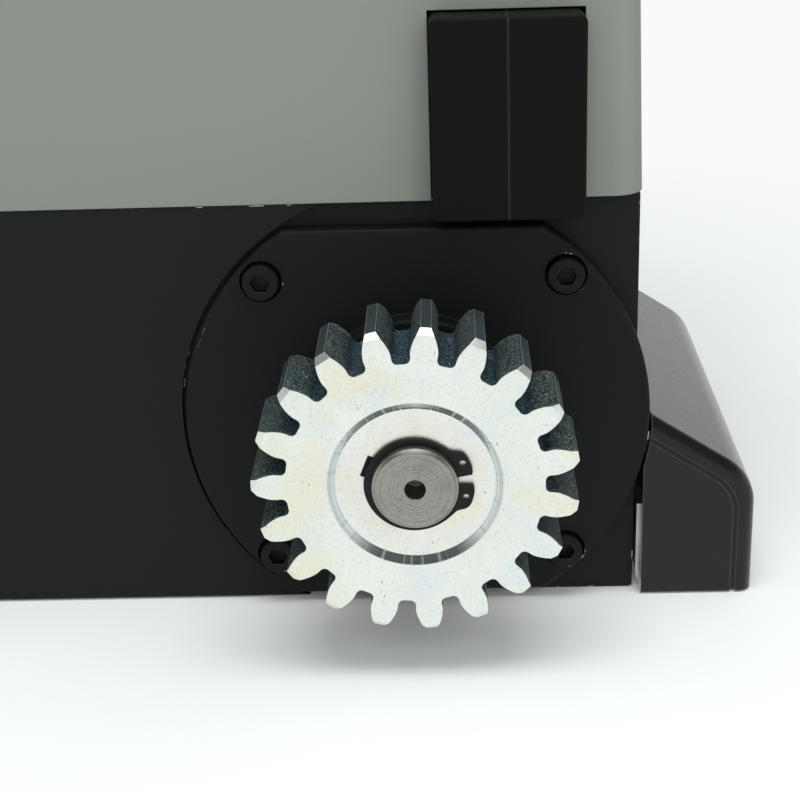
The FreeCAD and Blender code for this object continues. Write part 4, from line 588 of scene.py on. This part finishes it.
FINISHES = {
    "housing_paint": housing_paint,
    "cover_grey": grey_moulding,
    "black_moulding": lambda: plain_moulding(
        "limit_block_black", shade(8, 9, 9), shade(12, 13, 13), 900, 0.5, 0.2, 0.1),
    "foot_moulding": lambda: plain_moulding(
        "foot_cover_charcoal", shade(17, 18, 19), shade(22, 24, 24), 900, 0.36, 0.3, 0.15, 1.0),
    "zinc_sheet": lambda: plated_sheet("bracket_zinc", shade(176, 180, 181), shade(214, 217, 217)),
    "pinion_zinc": pinion_plating,
    "ground_steel": lambda: turned_steel(
        "shaft_turned_steel", shade(140, 142, 135), shade(176, 178, 170), 0.4 * MM, 0.4),
    "black_screw": black_oxide,
    "bright_screw": lambda: plated_sheet(
        "screw_zinc", shade(160, 162, 160), shade(200, 203, 201), 0.34),
    "bearing_steel": lambda: turned_steel(
        "bearing_ground_steel", shade(170, 173, 175), shade(206, 209, 211), 0.4 * MM, 0.2),
    "bronze": lambda: turned_steel(
        "wheel_bronze", shade(168, 122, 62), shade(206, 160, 92), 0.6 * MM, 0.34),
    "iron": lambda: cast_metal("hub_cast_iron", shade(62, 62, 64), shade(88, 88, 90), 0.5),
    "seal_rubber": rubber,
    "cast_aluminium": lambda: cast_metal(
        "motor_cast_aluminium", shade(170, 172, 174), shade(198, 200, 202), 0.42),
    "laminations": stacked_sheets,
    "copper": copper_windings,
    "grey_can": lambda: plain_moulding(
        "capacitor_can", shade(196, 197, 194), shade(208, 209, 206), 700, 0.35),
    "board_green": board_laminate,
    "terminal_green": lambda: plain_moulding(
        "terminal_green_moulding", shade(48, 128, 62), shade(58, 142, 74), 700, 0.35),
    "white_moulding": lambda: plain_moulding(
        "carrier_white_moulding", shade(204, 205, 200), shade(214, 215, 210), 700, 0.4),
    "lever_red": lambda: plain_moulding(
        "lever_red_moulding", shade(150, 24, 20), shade(166, 32, 26), 800, 0.4, 0.15),
}
OWN_FINISH = {
    "gearbox_cover_plate": plate_paint,
    "pinion_circlip": black_spring_steel,
    "pinion_key": black_spring_steel,
}


def dress_nodes():
    """Gives every CAD node the finish of its material slot, or its own."""
    made = {slot: build() for slot, build in FINISHES.items()}
    own = {node: build() for node, build in OWN_FINISH.items()}
    slot_of = {part["node"]: part["material_slot"] for part in frame["record"]["subparts"]}
    for node, thing in frame["nodes"].items():
        finish = own.get(node) or made[slot_of[node]]
        thing.data.materials.clear()
        thing.data.materials.append(finish)
    return own


# ------------------------------------------------------------ circlip
def flat_plate(name, flat, cells, front, back):
    """Plate between two depths: the cells' flat faces in front, the same turned round behind, and a
    wall quad on every directed edge whose reverse no cell has."""
    count = len(flat)
    edges = np.stack([cells, np.roll(cells, -1, axis=1)], axis=2).reshape(-1, 2)
    keys = edges[:, 0] * count + edges[:, 1]
    rim = edges[~np.isin(keys, edges[:, 1] * count + edges[:, 0])]
    walls = np.stack([rim[:, 1], rim[:, 0], rim[:, 0] + count, rim[:, 1] + count], axis=1)
    faces = np.concatenate([cells, cells[:, ::-1] + count, walls])
    points = np.concatenate([np.insert(flat, 1, front, axis=1), np.insert(flat, 1, back, axis=1)])
    mesh = bpy.data.meshes.new(name)
    mesh.from_pydata(points.tolist(), [], faces.tolist())
    return add_object(name, mesh)


def eye(grid, flat, start, stop, centre):
    """Cells between a block of the grid, left out of it, and a circle: each point of the block's
    outline goes to centre + CLIP_EYE * (point - centre) / |point - centre|."""
    loop = np.concatenate([grid[start, 1:-1], grid[start:stop, -1], grid[stop, :1:-1],
                           grid[stop:start:-1, 1]])
    away = flat[loop] - centre
    circle = centre + CLIP_EYE * away / np.linalg.norm(away, axis=1)[:, None]
    hole = np.arange(len(loop)) + len(flat)
    cells = np.stack([loop, np.roll(loop, -1), np.roll(hole, -1), hole], axis=1)
    return np.concatenate([flat, circle]), cells


def circlip(finish):
    """Circlip: radius = inner + share * (outer(angle) - inner) over angle and share, where outer is
    a table that swells at the two lugs; the whole is turned a little about the shaft."""
    lug = np.linspace(CLIP_GAP, CLIP_LUG_END, CLIP_LUG_STEPS)
    far_side = np.linspace(CLIP_LUG_END, 360 - CLIP_LUG_END, CLIP_BACK_STEPS)[1:-1]
    angles = np.concatenate([lug, far_side, 360 - lug[::-1]])
    outer = np.interp(np.minimum(angles, 360 - angles), CLIP_ANGLES, CLIP_RADII) * MM
    share = np.linspace(0, 1, CLIP_RINGS)
    radius = CLIP_INNER + share * (outer[:, None] - CLIP_INNER)
    turn = np.radians(angles)[:, None]
    flat = np.stack([radius * np.cos(turn), radius * np.sin(turn)], axis=2).reshape(-1, 2)
    grid = np.arange(len(flat)).reshape(len(angles), len(share))
    cells = np.stack([grid[:-1, :-1], grid[:-1, 1:], grid[1:, 1:], grid[1:, :-1]], axis=2)
    kept = np.ones(cells.shape[:2], bool)
    blocks = []
    for side in (1, -1):
        at = np.radians(side * CLIP_EYE_ANGLE)
        centre = CLIP_EYE_RADIUS * np.array([np.cos(at), np.sin(at)])
        off_eye = (angles - side * CLIP_EYE_ANGLE + 180) % 360 - 180
        start, stop = np.flatnonzero(np.abs(off_eye) < CLIP_EYE_HALF)[[0, -1]]
        kept[start:stop, 1:] = False
        flat, block = eye(grid, flat, start, stop, centre)
        blocks.append(block)
    cells = np.concatenate([cells[kept]] + blocks)
    lean = np.array([[np.cos(CLIP_TURN), np.sin(CLIP_TURN)],
                     [-np.sin(CLIP_TURN), np.cos(CLIP_TURN)]])
    clip_low, clip_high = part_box("pinion_circlip")
    piece = flat_plate("pinion_circlip_spring", flat @ lean + [SHAFT_X, SHAFT_Z], cells,
                       clip_low.y, clip_high.y)
    edge = piece.modifiers.new("stamped_edge", "BEVEL")
    edge.width = CLIP_EDGE
    edge.segments = 2
    edge.limit_method = "ANGLE"
    edge.angle_limit = CLIP_EDGE_ANGLE
    piece.data.materials.append(finish)
    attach(piece, "output")
    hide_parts("pinion_circlip")


# ------------------------------------------------------------ studio
def floor():
    """Pale floor, rising to white with the distance from the middle; to reflections it glows white
    from a few centimetres out, a painted reflection that stays bright over its shade.
    """
    middle = (cad_low + cad_high) / 2
    low = cad_low.z - FLOOR_DROP
    corners = FLOOR_HALF * np.array([[-1, -1, 0], [1, -1, 0], [1, 1, 0], [-1, 1, 0]])
    mesh = bpy.data.meshes.new("studio_floor")
    mesh.from_pydata((corners + [middle.x, middle.y, low]).tolist(), [], [(0, 1, 2, 3)])
    ground = add_object("studio_floor", mesh)
    paper = Finish("floor_paper", roughness=0.9, specular=0.1)
    away = paper.radius("X", middle.x, "Y", middle.y)
    path = paper.nodes.new("ShaderNodeLightPath").outputs
    seen = paper.times(paper.between(away, *FLOOR_FADE_SEEN), path["Is Camera Ray"])
    # Painted reflection: the floor glows white in reflections, even where it lies in shade under
    # the motor.
    mirrored = paper.times(paper.between(away, *FLOOR_GLOW_IN_REFLECTIONS), path["Is Glossy Ray"])
    paper.done(paper.mix(paper.noise(12, 3), shade(234, 238, 236), shade(238, 241, 239)))
    glow = paper.nodes.new("ShaderNodeEmission")
    glow.inputs["Color"].default_value = shade(249, 251, 250)
    blend = paper.nodes.new("ShaderNodeMixShader")
    paper.put(paper.plus(seen, mirrored), blend.inputs[0])
    paper.put(paper.shader.outputs[0], blend.inputs[1])
    paper.put(glow.outputs[0], blend.inputs[2])
    paper.put(blend.outputs[0], paper.nodes["Material Output"].inputs["Surface"])
    mesh.materials.append(paper.material)


def room():
    """Pale room: white to the camera, white low and dark high to reflections, grey as a lamp."""
    world = bpy.data.worlds.new("studio_room")
    bpy.context.scene.world = world
    world.use_nodes = True
    nodes = world.node_tree.nodes
    links = world.node_tree.links
    path = nodes.new("ShaderNodeLightPath").outputs
    split = nodes.new("ShaderNodeSeparateXYZ")
    links.new(nodes.new("ShaderNodeTexCoord").outputs["Generated"], split.inputs[0])

    def by_height(numbers):
        """Straight ramp over the height of the direction."""
        node = nodes.new("ShaderNodeMapRange")
        set_range(node, numbers)
        links.new(split.outputs["Z"], node.inputs["Value"])
        return node.outputs[0]

    strength = by_height(ROOM_LAMP)
    for ray, value in (("Is Glossy Ray", by_height(ROOM_MIRRORED)), ("Is Camera Ray", ROOM_WHITE)):
        choice = nodes.new("ShaderNodeMix")
        links.new(path[ray], choice.inputs["Factor"])
        links.new(strength, choice.inputs["A"])
        put(links, value, choice.inputs["B"])
        strength = choice.outputs[0]
    links.new(strength, nodes["Background"].inputs["Strength"])
    nodes["Background"].inputs["Color"].default_value = shade(250, 252, 252)


def soft_box(name, place, width, height, power, mirrored=True):
    """Rectangular area lamp turned to the pinion; mirrored lamps show in reflections."""
    lamp = bpy.data.lights.new(name, "AREA")
    lamp.shape = "RECTANGLE"
    lamp.size = width
    lamp.size_y = height
    lamp.energy = power
    holder = add_object(name, lamp)
    holder.location = place
    holder.rotation_mode = "QUATERNION"
    ahead = Vector((SHAFT_X, PINION_FRONT, SHAFT_Z)) - Vector(place)
    holder.rotation_quaternion = ahead.to_track_quat("-Z", "Y")
    holder.visible_glossy = mirrored


def lamps():
    """Broad overhead box just before the motor, and a front fill that reflections don't show."""
    soft_box("overhead_box", (0.05, -0.35, 1.25), width=1.0, height=0.45, power=8.0)
    soft_box("front_fill", (0.2, -1.3, 0.7), width=1.2, height=0.8, power=9.0, mirrored=False)


def camera():
    """Camera in front of the pinion, above it and looking down at it."""
    ahead = Vector((math.sin(EYE_YAW) * math.cos(EYE_PITCH),
                    math.cos(EYE_YAW) * math.cos(EYE_PITCH), -math.sin(EYE_PITCH)))
    level = Vector((math.cos(EYE_YAW), -math.sin(EYE_YAW), 0))
    upright = level.cross(ahead)
    right = level * math.cos(EYE_ROLL) + upright * math.sin(EYE_ROLL)
    up = upright * math.cos(EYE_ROLL) - level * math.sin(EYE_ROLL)
    data = bpy.data.cameras.new("camera")
    data.lens = LENS
    data.clip_start = 0.01
    data.clip_end = 50
    holder = add_object("camera", data)
    holder.rotation_mode = "QUATERNION"
    holder.rotation_quaternion = Matrix((right, up, -ahead)).transposed().to_quaternion()
    holder.location = Vector((SHAFT_X, PINION_FRONT, SHAFT_Z)) + EYE
    bpy.context.scene.camera = holder


own_finishes = dress_nodes()
circlip(own_finishes["pinion_circlip"])
floor()
room()
lamps()
camera()
bpy.context.scene.view_settings.view_transform = "Standard"
